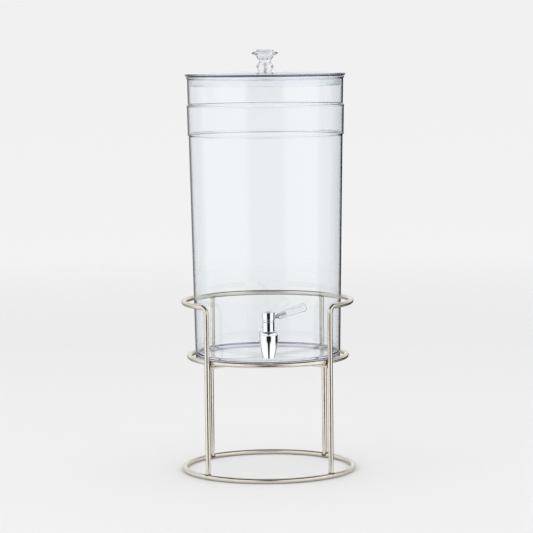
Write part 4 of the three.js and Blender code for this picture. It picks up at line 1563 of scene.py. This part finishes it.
@dataclass
class Lid:
    """The clear lid: a rounded edge on the rim, a shallow dome, a skirt in the mouth, and a cut knob."""

    tank: Tank
    overhang: float = 3.0
    thickness: float = 3.9
    edge_round: float = 1.8
    plate: float = 2.6
    dome_rise: float = 2.3
    dome_inset: float = 10.0
    dome_steps: int = 24
    fit_gap: float = 0.8
    skirt_wall: float = 2.6
    skirt_depth: float = 13.5
    skirt_round: float = 0.8
    skirt_edge: float = 0.5
    skirt_steps: int = 6
    pad_radius: float = 10.0
    knob_radius: float = 18.9
    knob_height: float = 30.9
    knob_sides: int = 10
    facet_edge: tuple[float, float, int] = (0.22, 8.0, 1)  # width, least angle and faces round it
    bore_start: float = 2.0
    bore_tip: float = 1.0
    screw_radius: float = 1.9
    screw_reach: float = 11.0
    screw_head_radius: float = 4.2
    screw_head: float = 2.6
    screw_pitch: float = 1.0
    washer_radius: float = 6.5
    washer_thickness: float = 1.0
    knob_rings: Levels = (
        (0.466, 0.0), (0.593, 0.1), (0.66, 0.225), (0.593, 0.325), (0.45, 0.39), (0.455, 0.5),
        (0.607, 0.61), (0.71, 0.71), (1.0, 0.81), (1.0, 0.866), (0.667, 0.935), (0.603, 1.0),
    )
    acrylic: LidAcrylic = LidAcrylic()
    cut: CutAcrylic = CutAcrylic()
    silicone: ClearSilicone = ClearSilicone()
    steel: BrightStainless = BrightStainless()

    def __post_init__(self) -> None:
        """Works out the sizes that follow from the others."""
        self.place = self.tank.place @ Matrix.Translation((0, 0, self.tank.height))
        self.top = GAP + self.thickness
        self.pad = self.top + self.dome_rise
        self.radius = self.tank.rim_radius + self.overhang
        self.hole = self.screw_radius + GAP
        self.ceiling = self.pad - self.plate - GAP
        self.bearing = self.ceiling - self.washer_thickness - GAP

    def crown(self, start: float, height: float) -> list[Point]:
        """Draws one face of the dome from its edge to the pad.

        Args:
            start: The edge's radius.
            height: The edge's height.

        Returns:
            The points along it.
        """
        top = height + self.dome_rise
        return bezier([(start, height), (start / 2, top), (self.pad_radius, top)], self.dome_steps)

    def outline(self) -> list[Point]:
        """Draws the lid's section, from the screw's hole out below and back above.

        Returns:
            The points along it.
        """
        outer = self.tank.mouth_radius - self.fit_gap
        inner = outer - self.skirt_wall
        under = self.top - self.plate
        edge, toe, depth, corner = self.edge_round, self.skirt_round, self.skirt_depth, self.skirt_edge
        return [
            (self.hole, under + self.dome_rise),
            *self.crown(inner, under)[::-1],
            (inner, corner - depth),
            (inner + corner, -depth),
            *arc((outer - toe, toe - depth), toe, -90, 0, self.skirt_steps),
            (outer, GAP - corner),
            (outer + corner, GAP),
            *arc((self.radius - edge, GAP + edge), edge, -90, 0),
            *arc((self.radius - edge, self.top - edge), edge, 0, 90),
            *self.crown(self.radius - self.dome_inset, self.top),
            (self.hole, self.pad),
        ]

    def build(self) -> None:
        """Makes and dresses the lid, its knob, and the washer and screw below it."""
        fit(Form().turn(self.outline(), Faces.MOULDING, closed=True), "lid_moulding", self.place,
            self.acrylic, Body.LID, "lid")
        foot = self.pad + GAP
        rings = [(radius * self.knob_radius, foot + height * self.knob_height)
                 for radius, height in self.knob_rings]
        end = foot + self.screw_reach + GAP
        start = foot - self.bore_start
        bore = [(0, start), (self.hole, start), (self.hole, end - self.bore_tip), (0, end)]
        fit(Form().facets(rings, self.knob_sides).soften(*self.facet_edge), "knob_facets", self.place,
            self.cut, Body.LID, "knob", Shading.FLAT, [(Form().turn(bore, Faces.SCREW), self.place)])
        high, wide = self.ceiling, self.washer_radius
        low = high - self.washer_thickness
        washer = [(self.hole, low), (wide - EDGE, low), (wide, low + EDGE), (wide, high - EDGE),
                  (wide - EDGE, high), (self.hole, high)]
        fit(Form().turn(washer, Faces.WASHER, closed=True), "knob_washer_disc", self.place, self.silicone,
            Body.LID, "knob_washer")
        length = foot + self.screw_reach - self.bearing
        screw = Screw(self.screw_radius, length, self.screw_head_radius, self.screw_head, self.screw_pitch)
        place = self.place @ Matrix.Translation((0, 0, self.bearing)) @ Matrix.Rotation(math.pi, 4, "X")
        screw.fit("knob_screw_pan_head", place, self.steel, Body.LID, "knob_screw")


# The studio


@dataclass(frozen=True)
class Band:
    """A level band of the room, as the dispenser sees it.

    It begins between two heights of the view, which go from -1 straight down to 1 straight up. Its tone
    is one sRGB hex value, or grey levels by azimuth in degrees from the camera's side.
    """

    start: float
    end: float
    tone: int | Levels


@dataclass(frozen=True)
class Softbox:
    """A softbox: its place, what it points at and its size in metres, and its glow, where 1 is white."""

    name: str
    place: tuple[float, float, float]
    aim: tuple[float, float, float]
    size: tuple[float, float]
    glow: float


LOW = (
    (-180, 0.05), (-164, 0.1), (-154, 0.36), (-134, 0.4), (-120, 0.8), (-60, 0.9), (-19, 0.9), (-12, 0.01),
    (12, 0.01), (19, 0.9), (60, 0.95), (108, 0.9), (122, 0.3), (150, 0.26), (160, 0.02), (180, 0.02),
)
CLOTHS = (
    (-180, 0.24), (-130, 0.28), (-104, 0.78), (-60, 0.85), (-32, 0.8), (-23, 0.01), (23, 0.01), (32, 0.8),
    (60, 0.9), (80, 0.95), (90, 0.02), (180, 0.02),
)
SIDES = (
    (-180, 0.74), (-172, 0.74), (-160, 0.52), (-140, 0.5), (-120, 0.78), (-60, 0.9), (-19, 0.9), (-8, 0.01),
    (8, 0.01), (19, 0.9), (60, 0.95), (104, 0.92), (118, 0.2), (132, 0.2), (142, 0.5), (160, 0.52),
    (172, 0.74), (180, 0.74),
)
ROOM = ((-180, 0.65), (112, 0.67), (122, 0.35), (138, 0.35), (150, 0.65), (180, 0.65))
HIGH = (
    (-180, 0.62), (-142, 0.7), (-136, 0.15), (-126, 0.15), (-118, 0.8), (-60, 0.85), (-32, 0.75),
    (-22, 0.015), (24, 0.015), (34, 0.75), (60, 0.9), (82, 0.9), (90, 0.04), (112, 0.04), (122, 0.7),
    (180, 0.62),
)
HORIZON = 0xD0D0D0


@dataclass
class Studio:
    """Table, room, softboxes and the camera, whose place is in millimetres from the dispenser's axis.

    The room round the dispenser has bright cloths to the left and right of the camera and dark gaps at
    the camera and beside the backdrop. The first bands are what metal and the acrylic's skin mirror, the
    second what the light that has entered the acrylic meets.
    """

    focal_pixels: float = 2400.0
    picture_width: float = 533.0
    sensor: float = 36.0
    far_clip: float = 100.0
    camera_place: tuple[float, float, float] = (-31.5, -3431.3, 618.6)
    pitch: float = 5.411
    yaw: float = 0.513
    roll: float = -0.609
    backdrop_high: int = 0xEFEFEF
    backdrop_low: int = 0xF3F3F3
    backdrop_rise: Point = (-0.12, 0.06)
    room_tone: int = 0xFFFFFF
    room_light: float = 0.92
    cloth_glow: float = 1.4
    table_half: float = 4.0
    mirrored_bands: tuple[Band, ...] = (
        Band(-1.0, -1.0, 0x3E3A32), Band(-0.8, -0.6, LOW), Band(-0.42, -0.24, CLOTHS), Band(0.0, 0.01, SIDES),
        Band(0.05, 0.07, HORIZON), Band(0.28, 0.32, SIDES), Band(0.56, 0.78, 0x2C2A28),
    )
    inner_bands: tuple[Band, ...] = (
        Band(-1.0, -1.0, ROOM), Band(0.0, 0.03, HIGH), Band(0.12, 0.14, HORIZON), Band(0.28, 0.32, HIGH),
        Band(0.75, 0.9, 0xA8A6A4),
    )
    softboxes: tuple[Softbox, ...] = (
        Softbox("key_left", (-1.9, -1.3, 1.3), (0, 0, 0.3), (1.3, 1.6), 0.75),
        Softbox("fill_right", (1.9, -1.5, 1.2), (0, 0, 0.3), (1.2, 1.6), 0.6),
        Softbox("top", (0.0, 0.3, 2.4), (0, 0, 0.2), (1.8, 1.8), 0.5),
    )

    def camera(self) -> None:
        """Sets the camera where the photograph was taken from."""
        pitch, yaw, roll = (math.radians(a) for a in (self.pitch, self.yaw, self.roll))
        ahead = Vector((math.sin(yaw) * math.cos(pitch), math.cos(yaw) * math.cos(pitch), -math.sin(pitch)))
        right = Vector((math.cos(yaw), -math.sin(yaw), 0))
        up = right.cross(ahead)
        right, up = math.cos(roll) * right + math.sin(roll) * up, math.cos(roll) * up - math.sin(roll) * right
        lens = bpy.data.cameras.new("camera")
        lens.sensor_width = self.sensor
        lens.lens = self.focal_pixels / self.picture_width * self.sensor
        lens.clip_end = self.far_clip
        made = bpy.data.objects.new("camera", lens)
        turn = Matrix((right, up, -ahead)).transposed().to_4x4()
        made.matrix_world = Matrix.Translation((AXIS + Vector(self.camera_place)) * MM) @ turn
        bpy.context.scene.collection.objects.link(made)
        bpy.context.scene.camera = made
        LOG.info("camera with a %.1f mm lens", lens.lens)

    def view(self, tree: Tree, height: Socket, azimuth: Node, bands: Sequence[Band]) -> Socket:
        """Stacks the room's bands from the lowest up.

        Args:
            tree: The world's nodes.
            height: The height of the view.
            azimuth: Its azimuth, as a share of a full turn.
            bands: The bands.

        Returns:
            The tone that is seen.
        """
        shown = None
        for band in bands:
            if isinstance(band.tone, int):
                tone = linear(band.tone)
            else:
                stops = [((angle + 180) / 360, level) for angle, level in band.tone]
                tone = add_node(tree, "ValToRGB", inputs={0: azimuth}, stops=stops)
            if shown is None:
                shown = tone
                continue
            rising = add_node(tree, "MapRange", inputs={
                "Value": height, "From Min": band.start, "From Max": band.end})
            shown = add_node(tree, "Mix", MIX, {0: rising, FIRST: shown, SECOND: tone}).outputs[MIXED]
        return shown

    def world(self) -> None:
        """Lights the room evenly, and shows a pale backdrop to the camera, to metal and through glass."""
        made = bpy.data.worlds.new("room")
        made.use_nodes = True
        tree = made.node_tree
        tree.nodes.clear()
        seen = add_node(tree, "LightPath")
        glass = add_node(tree, "Math", {"operation": "MAXIMUM"}, {
            0: seen.outputs["Is Camera Ray"], 1: seen.outputs["Is Transmission Ray"]})
        shown = add_node(tree, "Math", {"operation": "MAXIMUM"}, {0: glass, 1: seen.outputs["Is Glossy Ray"]})
        way = add_node(tree, "TexCoord").outputs["Generated"]
        parts = add_node(tree, "SeparateXYZ", inputs={0: way}).outputs
        rise = add_node(tree, "MapRange", inputs={
            "Value": parts["Z"], "From Min": self.backdrop_rise[0], "From Max": self.backdrop_rise[1]})
        backdrop = add_node(tree, "Mix", MIX, {
            0: rise, FIRST: linear(self.backdrop_low), SECOND: linear(self.backdrop_high)})
        front = add_node(tree, "Math", {"operation": "MULTIPLY"}, {0: parts["Y"], 1: -1.0})
        turn = add_node(tree, "Math", {"operation": "ARCTAN2"}, {0: parts["X"], 1: front})
        azimuth = add_node(tree, "MapRange", inputs={
            "Value": turn, "From Min": -math.pi, "From Max": math.pi})
        skin, inside = (self.view(tree, parts["Z"], azimuth, bands)
                        for bands in (self.mirrored_bands, self.inner_bands))
        sides = add_node(tree, "Mix", MIX, {0: mirrored(tree, seen), FIRST: inside, SECOND: skin})
        cloths = add_node(tree, "VectorMath", {"operation": "SCALE"}, {
            0: sides.outputs[MIXED], "Scale": self.cloth_glow})
        picture = add_node(tree, "Mix", MIX, {
            0: seen.outputs["Is Camera Ray"], FIRST: cloths.outputs[0], SECOND: backdrop.outputs[MIXED]})
        # A mirrored or inner view has its picture only until the light meets a matt face.
        first = add_node(tree, "Math", {"operation": "LESS_THAN"}, {0: seen.outputs["Diffuse Depth"], 1: 0.5})
        light = add_node(tree, "Background", inputs={
            "Color": linear(self.room_tone), "Strength": self.room_light})
        drop = add_node(tree, "Background", inputs={"Color": picture.outputs[MIXED], "Strength": first})
        mix = add_node(tree, "MixShader", inputs={0: shown, 1: light, 2: drop})
        add_node(tree, "OutputWorld", inputs={"Surface": mix})
        bpy.context.scene.world = made

    def hang(self, box: Softbox) -> None:
        """Hangs a softbox.

        Args:
            box: The softbox.
        """
        lamp = bpy.data.lights.new(box.name, "AREA")
        lamp.shape = "RECTANGLE"
        lamp.size, lamp.size_y = box.size
        lamp.energy = box.glow * math.pi * lamp.size * lamp.size_y
        made = bpy.data.objects.new(box.name, lamp)
        made.location = box.place
        made.rotation_euler = (Vector(box.aim) - Vector(box.place)).to_track_quat("-Z", "Y").to_euler()
        made.visible_camera = made.visible_glossy = made.visible_transmission = False
        bpy.context.scene.collection.objects.link(made)
        LOG.info("softbox %s", box.name)

    def table(self) -> None:
        """Lays the table."""
        data = bpy.data.meshes.new("table")
        half = self.table_half
        corners = [(-half, -half, 0), (half, -half, 0), (half, half, 0), (-half, half, 0)]
        data.from_pydata(corners, [], [range(4)])
        data.materials.append(StudioFloor().material())
        made = bpy.data.objects.new("table", data)
        bpy.context.scene.collection.objects.link(made)

    def build(self) -> None:
        """Sets up the studio."""
        self.camera()
        self.world()
        self.table()
        for box in self.softboxes:
            self.hang(box)


# The whole


def main() -> None:
    """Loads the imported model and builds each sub-assembly in order."""
    logging.basicConfig(level=logging.INFO, format="%(name)s: %(message)s")
    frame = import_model()
    bpy.context.scene.view_settings.view_transform = "Standard"
    Studio().build()
    stand = Stand()
    stand.build()
    tank = Tank(Matrix.Translation(AXIS + UP * stand.seat), stand.foot_radius)
    tank.build()
    tap = Tap(tank)
    tap.build()
    TapHandle(tap).build(frame["nodes"])
    Lid(tank).build()


if __name__ == "__main__":
    main()
